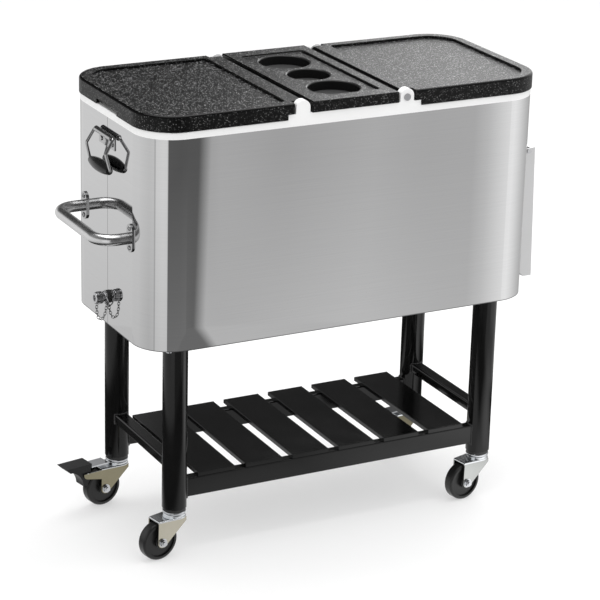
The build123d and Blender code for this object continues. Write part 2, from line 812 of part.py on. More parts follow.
def make_long_rail(side):
    middle_z = rail_z + rail_height / 2
    plane = Plane(origin=(-leg_x, side * leg_y, middle_z), z_dir=(1, 0, 0), x_dir=(0, 1, 0))
    return coped(extrude(plane * tube_section(rail_depth, rail_height), 2 * leg_x))


def make_side_rail(side):
    middle_z = side_rail_z + side_rail_height / 2
    plane = Plane(origin=(side * leg_x, -leg_y, middle_z), z_dir=(0, 1, 0), x_dir=(1, 0, 0))
    return coped(extrude(plane * tube_section(side_rail_width, side_rail_height), 2 * leg_y))


def make_slat(number):
    """A pressed sheet slat: a shallow tray turned over, lying on the front and back rails."""
    x = (number - (slat_count - 1) / 2) * slat_pitch
    half = slat_width / 2
    rail_face = leg_y + rail_depth / 2
    top_z = slat_z + slat_thickness
    back_y = rail_face + slat_back_overhang
    slat = block(x - half, x + half, -rail_face, back_y, slat_z, top_z)
    slat = fillet(slat.faces().sort_by(Axis.Z)[-1].edges(), slat_edge_radius)
    inner = half - slat_sheet
    ends = (slat_sheet - rail_face, back_y - slat_sheet)
    return slat - block(x - inner, x + inner, *ends, slat_z, top_z - slat_sheet)


# Casters, drawn with the swivel axis on Z and the wheel trailing toward -X
def make_caster_stems():
    race = rod((0, 0, upper_race_z), (0, 0, collar_z), upper_race_diameter)
    stem = fillet(race.edges(), race_edge_radius)
    stem += rod((0, 0, collar_z), (0, 0, collar_z + stem_length), stem_diameter)
    rivet_z = crown_bottom_z - seat_gap
    stem += rod((0, 0, rivet_z), (0, 0, upper_race_z), king_pin_diameter)
    stem += rod((0, 0, rivet_z - king_pin_head_height), (0, 0, rivet_z), king_pin_head_diameter)
    return Compound([Pos(x, y, 0) * stem for x, y in leg_places().values()])


def make_caster_fork(braked):
    inner_y = hub_width / 2 + hub_side_gap
    outer_y = inner_y + arm_thickness
    nose = Circle(crown_front_radius)
    tail = Pos(-arm_rear_reach / 2, 0) * Rectangle(arm_rear_reach, 2 * outer_y)
    crown = prism(make_hull([*nose.edges(), *tail.edges()]), crown_bottom_z, crown_top_z)
    crown = fillet(crown.faces().sort_by(Axis.Z)[-1].edges(), crown_edge_radius)
    race_top_z = crown_top_z + lower_race_height
    race = rod((0, 0, crown_top_z), (0, 0, race_top_z), lower_race_diameter)
    crown += fillet(race.edges().sort_by(Axis.Z)[-1], race_edge_radius)
    crown -= rod((0, 0, crown_bottom_z), (0, 0, race_top_z), king_pin_diameter + 2 * running_fit)

    eye = Pos(-caster_trail, axle_z) * Circle(arm_end_radius)
    band_length = arm_front_reach + arm_rear_reach
    band_middle = (arm_front_reach - arm_rear_reach) / 2
    band = Pos(band_middle, crown_bottom_z - arm_top_band / 2) * Rectangle(band_length, arm_top_band)
    cheek = make_hull([*eye.edges(), *band.edges()])
    if braked:
        ear = Pos(-brake_pivot_reach, brake_pivot_height) * Circle(brake_ear_radius)
        root = Pos(-caster_trail, crown_bottom_z - brake_ear_root / 2) * Rectangle(arm_thickness, brake_ear_root)
        cheek += make_hull([*ear.edges(), *root.edges()])
        cheek -= Pos(-caster_trail, crown_bottom_z + brake_ear_radius) * Rectangle(
            2 * brake_pivot_reach, 2 * brake_ear_radius
        )
    arm = side_profile(cheek, inner_y, outer_y)
    axle_line = [(-caster_trail, y, axle_z) for y in (0, outer_y)]
    arm -= rod(*axle_line, axle_diameter + 2 * hole_clearance)
    fork = crown + both_sides(arm)
    if braked:
        pin_line = [(-brake_pivot_reach, y, brake_pivot_height) for y in (-outer_y, outer_y)]
        fork += rod(*pin_line, brake_pivot_diameter)
    return fork


def make_caster_wheel():
    radius = wheel_diameter / 2
    half = wheel_width / 2
    bore = axle_diameter / 2 + running_fit
    rim_radius = radius - wheel_rim_depth
    hub_radius = hub_diameter / 2
    right_half = [
        (bore, hub_width / 2),
        (hub_radius, hub_width / 2),
        (hub_radius, half - wheel_web_inset),
        (rim_radius, half - wheel_web_inset),
        (rim_radius, half),
        (radius, half),
    ]
    left_half = [(r, -y) for r, y in reversed(right_half)]
    profile = Polygon(*right_half, *left_half, align=None)
    profile = fillet(profile.vertices().group_by(Axis.X)[-1], wheel_shoulder_radius)
    return Pos(-caster_trail, 0, axle_z) * revolve(profile, Axis.Y)


def make_caster_axle():
    outer_y = hub_width / 2 + hub_side_gap + arm_thickness
    seat_y = outer_y + washer_thickness
    end_y = seat_y + axle_head_height + axle_end_reach
    axle = rod((-caster_trail, -end_y, axle_z), (-caster_trail, outer_y, axle_z), axle_diameter)
    washer = rod((-caster_trail, outer_y, axle_z), (-caster_trail, seat_y, axle_z), washer_diameter)
    head = Plane(origin=(-caster_trail, seat_y, axle_z), z_dir=(0, 1, 0))
    head = extrude(head * RegularPolygon(axle_head_width / 2, 6, major_radius=False), axle_head_height)
    return axle + both_sides(washer + head)


def make_brake_pedal():
    """A black foot pedal with a curved web that carries the brake shoe."""
    pivot_z = brake_pivot_height
    half_web = hub_width / 2 + hub_side_gap - brake_side_gap
    front_x = -pedal_front_reach
    tip_x = -pedal_tip_reach
    top_z = pivot_z + pedal_rise
    pad_z = top_z - pedal_thickness
    shoe_z = pivot_z - shoe_drop
    heel_x = shoe_back_reach - brake_pivot_reach
    toe_x = tip_x + pedal_thickness
    pad = Polygon((front_x, pad_z), (front_x, top_z), (tip_x, top_z), (toe_x, pad_z), align=None)
    back = ThreePointArc(
        (toe_x, pad_z),
        (-brake_pivot_reach - 2 * brake_ear_radius, pivot_z),
        (-brake_pivot_reach - shoe_back_reach, shoe_z),
    )
    front = Polyline(
        (-brake_pivot_reach - shoe_back_reach, shoe_z),
        (-brake_pivot_reach, shoe_z),
        (heel_x, pivot_z - brake_ear_radius),
        (heel_x, pad_z),
        (toe_x, pad_z),
    )
    pedal = side_profile(make_face([back, *front.edges()]), -half_web, half_web)
    pedal += side_profile(pad, -pedal_width / 2, pedal_width / 2)
    pin_line = [(-brake_pivot_reach, y, pivot_z) for y in (-half_web, half_web)]
    return pedal - rod(*pin_line, brake_pivot_diameter + 2 * running_fit)


def make_brake_lever():
    half = hub_width / 2 + hub_side_gap - brake_side_gap
    lever_z = brake_pivot_height + lever_rise
    top_z = lever_z + lever_thickness
    return block(-pedal_front_reach, -lever_front_reach, -half, half, lever_z, top_z)


def make_caster(name, x, y):
    braked = name.startswith("back")
    pieces = {
        f"caster_fork_{name}": make_caster_fork(braked),
        f"caster_wheel_{name}": make_caster_wheel(),
        f"caster_axle_{name}": make_caster_axle(),
    }
    if braked:
        pieces[f"brake_pedal_{name}"] = make_brake_pedal()
        pieces[f"brake_lever_{name}"] = make_brake_lever()
    place = Pos(x, y, 0) * Rot(0, 0, caster_heading)
    return {node: place * piece for node, piece in pieces.items()}


def make_all():
    left_lid = make_left_lid()
    left_lid_liner = make_left_lid_liner()
    nodes = {
        "steel_shell": make_steel_shell(),
        "base_pan": make_base_pan(),
        "insulation_foam": make_insulation_foam(),
        "inner_liner": make_inner_liner(),
        "hinge_pins": make_hinge_pins(),
        "left_lid": left_lid,
        "left_lid_liner": left_lid_liner,
        "right_lid": mirror(left_lid, about=Plane.YZ),
        "right_lid_liner": mirror(left_lid_liner, about=Plane.YZ),
        "cup_panel": make_cup_panel(),
        "push_handle": make_push_handle(),
        "push_handle_flanges": make_handle_flanges(),
        "wall_screws": make_wall_screws(),
        "bail_bracket": make_bail_bracket(),
        "bail_rivets": make_bail_rivets(),
        "bail_wire": make_bail_wire(),
        "bail_grip": make_bail_grip(),
        "drain_spout": make_drain_spout(),
        "drain_gasket": make_drain_gasket(),
        "drain_lock_nut": make_drain_lock_nut(),
        "drain_cap": make_drain_cap(),
        "drain_cap_ring": make_drain_cap_ring(),
        "drain_chain": make_drain_chain(),
        "side_shelf": make_side_shelf(),
        "shelf_brackets": make_shelf_brackets(),
        "shelf_pivot_pins": make_shelf_pins(),
        "leg_plates": make_leg_plates(),
        "leg_bolts": make_leg_bolts(),
        "leg_inserts": make_leg_inserts(),
        "front_rail": make_long_rail(-1),
        "back_rail": make_long_rail(1),
        "left_rail": make_side_rail(-1),
        "right_rail": make_side_rail(1),
        "caster_stems": make_caster_stems(),
    }
    for number in range(slat_count):
        nodes[f"slat_{number + 1}"] = make_slat(number)
    for name, (x, y) in leg_places().items():
        nodes[f"leg_{name}"] = make_leg(x, y)
        nodes.update(make_caster(name, x, y))
    return nodes


os.makedirs("parts", exist_ok=True)
for node, shape in make_all().items():
    export_step(Pos(centre_shift, 0, 0) * shape, f"parts/{node}.step")
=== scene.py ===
import math

import bmesh
import bpy
from mathutils import Euler, Matrix, Vector


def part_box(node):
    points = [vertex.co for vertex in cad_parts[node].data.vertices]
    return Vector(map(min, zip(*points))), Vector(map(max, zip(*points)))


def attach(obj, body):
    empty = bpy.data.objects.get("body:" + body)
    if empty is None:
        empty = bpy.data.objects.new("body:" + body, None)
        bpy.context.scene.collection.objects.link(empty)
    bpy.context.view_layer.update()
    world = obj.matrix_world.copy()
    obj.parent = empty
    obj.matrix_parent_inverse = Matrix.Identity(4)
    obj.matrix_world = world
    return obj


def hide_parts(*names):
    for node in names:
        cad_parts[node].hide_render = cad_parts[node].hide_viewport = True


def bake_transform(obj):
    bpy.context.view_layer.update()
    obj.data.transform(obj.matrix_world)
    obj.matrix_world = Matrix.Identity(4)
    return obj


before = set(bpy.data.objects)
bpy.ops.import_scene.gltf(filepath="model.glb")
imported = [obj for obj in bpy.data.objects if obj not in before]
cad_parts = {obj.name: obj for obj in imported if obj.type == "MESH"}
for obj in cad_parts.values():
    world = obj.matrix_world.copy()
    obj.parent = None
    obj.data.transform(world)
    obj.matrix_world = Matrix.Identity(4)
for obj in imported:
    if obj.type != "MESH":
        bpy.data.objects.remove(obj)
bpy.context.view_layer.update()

# Welded stand
# Four round steel legs, rails on edge at the front and back, flat rails at the sides, and six slats.
# All of it is welded and then sprayed in one coat of gloss black, which hides the joints but not the beads.


def add_node(nodes, kind, values=None, **settings):
    """A node with its settings, and with values on its inputs by name or number."""
    node = nodes.new(kind)
    for setting, value in settings.items():
        setattr(node, setting, value)
    for socket, value in (values or {}).items():
        node.inputs[socket].default_value = value
    return node


def join(links, *joins):
    """Link nodes: each join is a node, its output, another node and that one's input."""
    for source, output, target, entry in joins:
        links.new(source.outputs[output], target.inputs[entry])


def new_group(name, kind, inputs, outputs):
    """A node group with named sockets: the group, its nodes and links, and its input and output nodes."""
    group = bpy.data.node_groups.new(name, f"{kind}NodeTree")
    for direction, sockets in (("INPUT", inputs), ("OUTPUT", outputs)):
        for socket, form in sockets.items():
            group.interface.new_socket(socket, in_out=direction, socket_type=f"NodeSocket{form}")
    given = add_node(group.nodes, "NodeGroupInput")
    result = add_node(group.nodes, "NodeGroupOutput")
    return group, group.nodes, group.links, given, result


surface_outputs = {"Roughness": "Float", "Shade": "Float", "Height": "Float"}


def unevenness_group():
    """Slow drift in gloss and tone plus the fine height of a skin, for any smooth finish."""
    inputs = {"Grain": "Float", "Gloss Low": "Float", "Gloss High": "Float"}
    group, nodes, links, given, result = new_group("surface_unevenness", "Shader", inputs, surface_outputs)
    place = add_node(nodes, "ShaderNodeTexCoord")
    drift = add_node(nodes, "ShaderNodeTexNoise", {"Scale": 14, "Detail": 5})
    spread = add_node(nodes, "ShaderNodeMapRange", {"From Min": 0.3, "From Max": 0.7})
    skin = add_node(nodes, "ShaderNodeTexNoise", {"Detail": 3})
    join(
        links,
        (place, "Object", drift, "Vector"),
        (place, "Object", skin, "Vector"),
        (given, "Grain", skin, "Scale"),
        (drift, "Fac", spread, "Value"),
        (given, "Gloss Low", spread, "To Min"),
        (given, "Gloss High", spread, "To Max"),
        (spread, "Result", result, "Roughness"),
        (drift, "Fac", result, "Shade"),
        (skin, "Fac", result, "Height"),
    )
    return group


unevenness = unevenness_group()


def new_material(name):
    """A material with its nodes and links."""
    material = bpy.data.materials.new(name)
    material.use_nodes = True
    return material, material.node_tree.nodes, material.node_tree.links


def make_surface(name, dark, light, relief, pattern, pattern_values, shader_values):
    """A material whose tone, roughness and relief in metres come from a group that draws a pattern."""
    material, nodes, links = new_material(name)
    shader = nodes["Principled BSDF"]
    for socket, value in shader_values.items():
        shader.inputs[socket.replace("_", " ")].default_value = value
    skin = add_node(nodes, "ShaderNodeGroup", pattern_values, node_tree=pattern)
    tones = {"A": (*dark, 1), "B": (*light, 1)}
    tone = add_node(nodes, "ShaderNodeMix", tones, name="tone", data_type="RGBA")
    bump = add_node(nodes, "ShaderNodeBump", {"Strength": 1, "Distance": relief})
    join(
        links,
        (skin, "Shade", tone, "Factor"),
        (tone, "Result", shader, "Base Color"),
        (skin, "Roughness", shader, "Roughness"),
        (skin, "Height", bump, "Height"),
        (bump, "Normal", shader, "Normal"),
    )
    return material


def make_finish(name, dark, light, gloss, grain, relief, **shader_values):
    """A smooth finish that drifts between two tones and two roughness values, with its grain per metre."""
    skin_values = {"Grain": grain, "Gloss Low": gloss[0], "Gloss High": gloss[1]}
    return make_surface(name, dark, light, relief, unevenness, skin_values, shader_values)


def grey(level):
    """An even grey."""
    return (level, level, level)


def dress(names, material):
    """Give CAD nodes a material."""
    for name in names:
        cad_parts[name].material_slots[0].material = material


gloss_black = make_finish(
    "gloss_black_paint", dark=grey(0.003), light=grey(0.006), gloss=(0.08, 0.16), grain=420, relief=0.00002,
    Specular_IOR_Level=0.34,
)
corners = ("front_left", "front_right", "back_left", "back_right")
legs = [f"leg_{corner}" for corner in corners]
slats = [f"slat_{number}" for number in range(1, 7)]
dress([*legs, "front_rail", "back_rail", "left_rail", "right_rail", *slats, "leg_plates"], gloss_black)

# Weld beads
# Each rail end is welded all round to its leg, and the bead of small ripples shows through the paint.
bead_black = make_finish(
    "bead_black_paint", dark=grey(0.003), light=grey(0.006), gloss=(0.03, 0.06), grain=420, relief=0.00002,
    Specular_IOR_Level=1.0,
)
bead_width = 0.0042
bead_height = 0.0026
bead_pitch = 0.0017
points_per_side = 12
ripple_sizes = (0.8, 1.15)
ripple_seed = 3


def new_tree(name, sizes):
    """A Geometry Nodes tree with named inputs for its sizes."""
    return new_group(name, "Geometry", {"Geometry": "Geometry", **sizes}, {"Geometry": "Geometry"})


def end_tree(nodes, links, instances, result, material, smooth=False):
    """End a tree by making instances real and giving them their material."""
    solid = add_node(nodes, "GeometryNodeRealizeInstances")
    shaded = solid
    if smooth:
        shaded = add_node(nodes, "GeometryNodeSetShadeSmooth")
        join(links, (solid, "Geometry", shaded, "Geometry"))
    paint = add_node(nodes, "GeometryNodeSetMaterial", {"Material": material})
    join(
        links,
        (instances, "Instances", solid, "Geometry"),
        (shaded, "Geometry", paint, "Geometry"),
        (paint, "Geometry", result, "Geometry"),
    )


def bead_tree():
    """Ripples of weld metal along every edge line of the mesh."""
    sizes = {"Bead Width": "Float", "Bead Height": "Float", "Bead Pitch": "Float"}
    tree, nodes, links, given, result = new_tree("weld_bead", sizes)
    line = add_node(nodes, "GeometryNodeMeshToCurve")
    steps = add_node(nodes, "GeometryNodeResampleCurve", mode="LENGTH")
    ripple = add_node(nodes, "GeometryNodeMeshIcoSphere", {"Radius": 0.5, "Subdivisions": 2})
    along = add_node(nodes, "GeometryNodeInputTangent")
    turn = add_node(nodes, "FunctionNodeAlignRotationToVector", axis="X")
    smallest, largest = ripple_sizes
    uneven = add_node(nodes, "FunctionNodeRandomValue", {2: smallest, 3: largest, "Seed": ripple_seed})
    size = add_node(nodes, "ShaderNodeCombineXYZ")
    varied = add_node(nodes, "ShaderNodeVectorMath", operation="SCALE")
    ripples = add_node(nodes, "GeometryNodeInstanceOnPoints")
    join(
        links,
        (given, "Geometry", line, "Mesh"),
        (line, "Curve", steps, "Curve"),
        (given, "Bead Pitch", steps, "Length"),
        (steps, "Curve", ripples, "Points"),
        (ripple, "Mesh", ripples, "Instance"),
        (along, "Tangent", turn, "Vector"),
        (turn, "Rotation", ripples, "Rotation"),
        (given, "Bead Height", size, "X"),
        (given, "Bead Width", size, "Y"),
        (given, "Bead Width", size, "Z"),
        (size, "Vector", varied, "Vector"),
        (uneven, 1, varied, "Scale"),
        (varied, "Vector", ripples, "Scale"),
    )
    end_tree(nodes, links, ripples, result, bead_black, smooth=True)
    return tree


def show(name, data):
    """A new object in the scene."""
    shown = bpy.data.objects.new(name, data)
    bpy.context.scene.collection.objects.link(shown)
    return shown


def grow(name, mesh, tree, sizes):
    """Run a node tree on a mesh and keep what it makes as a plain piece."""
    piece = show(name, mesh)
    maker = piece.modifiers.new("maker", "NODES")
    maker.node_group = tree
    for item in tree.interface.items_tree:
        if item.in_out == "INPUT" and item.name in sizes:
            maker[item.identifier] = sizes[item.name]
    evaluated = piece.evaluated_get(bpy.context.evaluated_depsgraph_get())
    made = bpy.data.meshes.new_from_object(evaluated)
    piece.modifiers.remove(maker)
    piece.data = made
    return piece


def rail_end_line(leg, along_x, side, half_width, low, high):
    """Points round the end of a rail where it meets its round leg."""
    lowest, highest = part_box(leg)
    centre = (lowest + highest) / 2
    radius = (highest.x - lowest.x) / 2
    corner_points = [(-half_width, low), (half_width, low), (half_width, high), (-half_width, high)]
    points = []
    for start, end in zip(corner_points, corner_points[1:] + corner_points[:1]):
        for step in range(points_per_side):
            across = start[0] + (end[0] - start[0]) * step / points_per_side
            height = start[1] + (end[1] - start[1]) * step / points_per_side
            out = side * math.sqrt(radius**2 - across**2)
            offset = (out, across) if along_x else (across, out)
            points.append((centre.x + offset[0], centre.y + offset[1], height))
    return points


bead_mesh = bmesh.new()
rail_ends = (
    ("leg_front_left", "front_rail", True, 1),
    ("leg_front_right", "front_rail", True, -1),
    ("leg_back_left", "back_rail", True, 1),
    ("leg_back_right", "back_rail", True, -1),
    ("leg_front_left", "left_rail", False, 1),
    ("leg_back_left", "left_rail", False, -1),
    ("leg_front_right", "right_rail", False, 1),
    ("leg_back_right", "right_rail", False, -1),
)
for leg, rail, along_x, side in rail_ends:
    lowest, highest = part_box(rail)
    half_width = (highest.y - lowest.y if along_x else highest.x - lowest.x) / 2
    line = rail_end_line(leg, along_x, side, half_width, lowest.z, highest.z)
    verts = [bead_mesh.verts.new(point) for point in line]
    for first, second in zip(verts, verts[1:] + verts[:1]):
        bead_mesh.edges.new((first, second))
bead_lines = bpy.data.meshes.new("bead_lines")
bead_mesh.to_mesh(bead_lines)
bead_mesh.free()
weld_beads = grow(
    "weld_beads", bead_lines, bead_tree(),
    {"Bead Width": bead_width, "Bead Height": bead_height, "Bead Pitch": bead_pitch},
)
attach(weld_beads, "cart")

# Bolts and leg inserts
# Zinc plated hex bolts hold the leg plates under the tub.
# A moulded insert in each leg takes a caster stem.
bright_zinc = make_finish(
    "bright_zinc", dark=(0.52, 0.53, 0.55), light=(0.72, 0.73, 0.75), gloss=(0.06, 0.14), grain=900,
    relief=0.00002, Metallic=1.0,
)
insert_plastic = make_finish(
    "insert_plastic", dark=grey(0.012), light=grey(0.02), gloss=(0.42, 0.55), grain=1500, relief=0.00005,
)
dress(["leg_bolts", "caster_stems"], bright_zinc)
dress(["leg_inserts"], insert_plastic)

# Casters
# Pressed forks in passivated zinc with a bright crown, all four of one finish: the front right is painted
# silver as a painted reflection, the braked pair olive and darker as painted shade.
# The crown turns under the stem's upper race. A hex headed axle holds a solid rubber wheel in the cheeks.
passivated_zinc = make_finish(
    "passivated_zinc", dark=(0.48, 0.45, 0.36), light=(0.62, 0.59, 0.5), gloss=(0.12, 0.22), grain=700,
    relief=0.00002, Metallic=1.0,
)
# A lighter, silver copy of the fork finish: painted reflection for the front right fork.
silver_painted_highlight_zinc = make_finish(
    "silver_painted_highlight_zinc", dark=(0.42, 0.43, 0.42), light=(0.54, 0.55, 0.54), gloss=(0.1, 0.2), grain=700,
    relief=0.00002, Metallic=1.0,
)
# A darker, olive copy of the fork finish: painted shade for the braked back pair.
olive_painted_shade_zinc = make_finish(
    "olive_painted_shade_zinc", dark=(0.22, 0.2, 0.13), light=(0.34, 0.31, 0.22), gloss=(0.12, 0.22), grain=700,
    relief=0.00002, Metallic=1.0,
)
tyre_rubber = make_finish(
    "tyre_rubber", dark=grey(0.006), light=grey(0.013), gloss=(0.24, 0.4), grain=800, relief=0.00008,
    Specular_IOR_Level=0.4,
)
crown_level = 0.0762
crown_fade = 0.0016
crown_silver = (0.74, 0.76, 0.78)


def change_above(material, source, level, fade, colour):
    """Let a finish turn to another colour above a level of the object's own height or upward slope."""
    nodes, links = material.node_tree.nodes, material.node_tree.links
    place = add_node(nodes, "ShaderNodeTexCoord")
    axes = add_node(nodes, "ShaderNodeSeparateXYZ")
    mask_values = {"From Min": level, "From Max": level + fade}
    mask = add_node(nodes, "ShaderNodeMapRange", mask_values, interpolation_type="SMOOTHSTEP")
    change = add_node(nodes, "ShaderNodeMix", {"B": (*colour, 1)}, data_type="RGBA")
    join(
        links,
        (place, source, axes, "Vector"),
        (axes, "Z", mask, "Value"),
        (mask, "Result", change, "Factor"),
        (nodes["tone"], "Result", change, "A"),
        (change, "Result", nodes["Principled BSDF"], "Base Color"),
    )


for zinc in (passivated_zinc, silver_painted_highlight_zinc, olive_painted_shade_zinc):
    change_above(zinc, "Object", crown_level, crown_fade, crown_silver)
dress(["caster_fork_front_left"], passivated_zinc)
dress(["caster_fork_front_right"], silver_painted_highlight_zinc)
dress(["caster_fork_back_left", "caster_fork_back_right"], olive_painted_shade_zinc)
dress([f"caster_axle_{corner}" for corner in corners], bright_zinc)
dress([f"caster_wheel_{corner}" for corner in corners], tyre_rubber)

# Foot brakes
# Each back caster has a black moulded pedal on a zinc strip that rocks on a pin through the fork's ears.
pedal_plastic = make_finish(
    "pedal_plastic", dark=(0.005, 0.005, 0.006), light=(0.01, 0.01, 0.011), gloss=(0.24, 0.36), grain=1600,
    relief=0.00005, Specular_IOR_Level=0.3,
)
dress(["brake_pedal_back_left", "brake_pedal_back_right"], pedal_plastic)
dress(["brake_lever_back_left", "brake_lever_back_right"], bright_zinc)

# Steel walls and base pan
# One sheet of bright rolled steel wraps the tub, with its seam up the middle of the handle end.
# The sheet has faint lines along its length, and a pressed pan of duller steel closes the tub below, its
# tone painted darker still as painted shade for the shadow line along the foot of the walls.
seam_width = 0.0011
seam_fade = 0.0004
seam_grey = 0.16
end_wall_depth = 0.002


def rolled_lines_group():
    """Fine lines along one direction, from noise that is drawn out that way."""
    inputs = {"Stretch": "Vector", "Gloss Low": "Float", "Gloss High": "Float"}
    group, nodes, links, given, result = new_group("rolled_lines", "Shader", inputs, surface_outputs)
    place = add_node(nodes, "ShaderNodeTexCoord")
    stretched = add_node(nodes, "ShaderNodeVectorMath", operation="MULTIPLY")
    lines = add_node(nodes, "ShaderNodeTexNoise", {"Scale": 1, "Detail": 4})
    spread = add_node(nodes, "ShaderNodeMapRange", {"From Min": 0.3, "From Max": 0.7})
    join(
        links,
        (place, "Object", stretched, 0),
        (given, "Stretch", stretched, 1),
        (stretched, "Vector", lines, "Vector"),
        (lines, "Fac", spread, "Value"),
        (given, "Gloss Low", spread, "To Min"),
        (given, "Gloss High", spread, "To Max"),
        (spread, "Result", result, "Roughness"),
        (lines, "Fac", result, "Shade"),
        (lines, "Fac", result, "Height"),
    )
    return group


rolled_lines = rolled_lines_group()


def make_sheet_steel(name, dark, light, gloss, stretch, relief, anisotropy, turn):
    """Rolled or brushed sheet steel whose lines follow the stretch of the pattern."""
    line_values = {"Stretch": stretch, "Gloss Low": gloss[0], "Gloss High": gloss[1]}
    shader_values = {"Metallic": 1.0, "Anisotropic": anisotropy, "Anisotropic Rotation": turn}
    material = make_surface(name, dark, light, relief, rolled_lines, line_values, shader_values)
    nodes, links = material.node_tree.nodes, material.node_tree.links
    level = add_node(nodes, "ShaderNodeTangent", direction_type="RADIAL", axis="Z")
    join(links, (level, "Tangent", nodes["Principled BSDF"], "Tangent"))
    return material


def add_math(nodes, operation, values=None):
    """A node for one step of arithmetic."""
    return add_node(nodes, "ShaderNodeMath", values, operation=operation)


def add_seam(material, wall_x):
    """A thin dark seam up the middle of one end wall."""
    nodes, links = material.node_tree.nodes, material.node_tree.links
    place = add_node(nodes, "ShaderNodeTexCoord")
    axes = add_node(nodes, "ShaderNodeSeparateXYZ")
    off_middle = add_math(nodes, "ABSOLUTE")
    seam_edge = {"From Min": seam_width / 2, "From Max": seam_width / 2 + seam_fade}
    near = add_node(nodes, "ShaderNodeMapRange", {**seam_edge, "To Min": 1, "To Max": 0})
    on_wall = add_math(nodes, "LESS_THAN", {1: wall_x})
    mask = add_math(nodes, "MULTIPLY")
    seam = add_node(nodes, "ShaderNodeMix", {"B": (*grey(seam_grey), 1)}, data_type="RGBA")
    join(
        links,
        (place, "Object", axes, "Vector"),
        (axes, "Y", off_middle, 0),
        (off_middle, "Value", near, "Value"),
        (axes, "X", on_wall, 0),
        (near, "Result", mask, 0),
        (on_wall, "Value", mask, 1),
        (mask, "Value", seam, "Factor"),
        (nodes["tone"], "Result", seam, "A"),
        (seam, "Result", nodes["Principled BSDF"], "Base Color"),
    )


bright_sheet = make_sheet_steel(
    "bright_sheet_steel", dark=(0.55, 0.55, 0.555), light=grey(0.61), gloss=(0.018, 0.03),
    stretch=(7, 7, 1300), relief=0.0000008, anisotropy=0.85, turn=0.25,
)
add_seam(bright_sheet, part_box("steel_shell")[0].x + end_wall_depth)
# The pan's dark grey is partly its duller steel and partly painted shade for the shadow gap under the
# walls.
pan_sheet_painted_shade = make_sheet_steel(
    "pan_sheet_steel", dark=(0.14, 0.14, 0.145), light=grey(0.2), gloss=(0.26, 0.36), stretch=(900, 9, 9),
    relief=0.000004, anisotropy=0.3, turn=0.0,
)
dress(["steel_shell"], bright_sheet)
dress(["base_pan"], pan_sheet_painted_shade)

# Insulation
# Sprayed foam fills the space between the steel and the liner, cream coloured with fine open cells.
foam = make_finish(
    "sprayed_foam", dark=(0.62, 0.52, 0.3), light=(0.74, 0.66, 0.42), gloss=(0.85, 0.98), grain=300,
    relief=0.0009,
)
dress(["insulation_foam"], foam)

# White mouldings
# The liner, its rim and the closing panels under the lids are white plastic with a soft shine.
# Every face of the closing panels but the one facing down is painted black as painted shade, so the edges
# that the finger notches show read as in shadow.
white_values = {
    "dark": (0.8, 0.8, 0.795), "light": grey(0.86), "gloss": (0.3, 0.42), "grain": 1200, "relief": 0.00003,
}
lining_side_slope = -0.9
lining_side_fade = 0.3
lining_side_painted_shade = grey(0.004)
white_plastic = make_finish("white_plastic", **white_values)
dress(["inner_liner"], white_plastic)
lid_lining_with_painted_shade = make_finish("lid_lining_with_painted_shade", **white_values)
# Painted shade: the lid lining turns black on every face that does not face down.
change_above(lid_lining_with_painted_shade, "Normal", lining_side_slope, lining_side_fade, lining_side_painted_shade)
dress(["left_lid_liner", "right_lid_liner"], lid_lining_with_painted_shade)

# Hinge pins
# Turned steel pins go through the lugs of the rim and the ears of the lids.
pin_metal = make_finish(
    "pin_metal", dark=(0.4, 0.4, 0.41), light=(0.52, 0.52, 0.53), gloss=(0.25, 0.38), grain=900,
    relief=0.00003, Metallic=1.0,
)
dress(["hinge_pins"], pin_metal)

# Lids and centre panel
# Black mouldings with a coarse pebble grain that catches the light in small points.
# A light grey painted on some crests of the grain gives these as painted glints, strongest where the
# surface faces up, so tops read lighter and sides darker as painted light.
pebble_size = 0.0024
pebble_relief = 0.00016
pebble_black = grey(0.002)
pebble_shine = 0.16
pebble_roughness = 0.38
polished_roughness = 0.14
# Painted glints and painted light on the grain, stronger on faces that point up.
painted_glints_grey = grey(0.75)
painted_glints_rarity = 4
crest_distances = (0.6, 0.05)
upward_slopes = (0.3, 0.9)
side_painted_glints = 0.3
floor_painted_light = 0.05
floor_painted_light_falloff = 2
rounded_slope = 0.67
rounded_slope_spread = 0.31
grained_edge_y = 0.16
grain_start = (-0.0006, -0.0001)
panel_tray_depth = 0.004


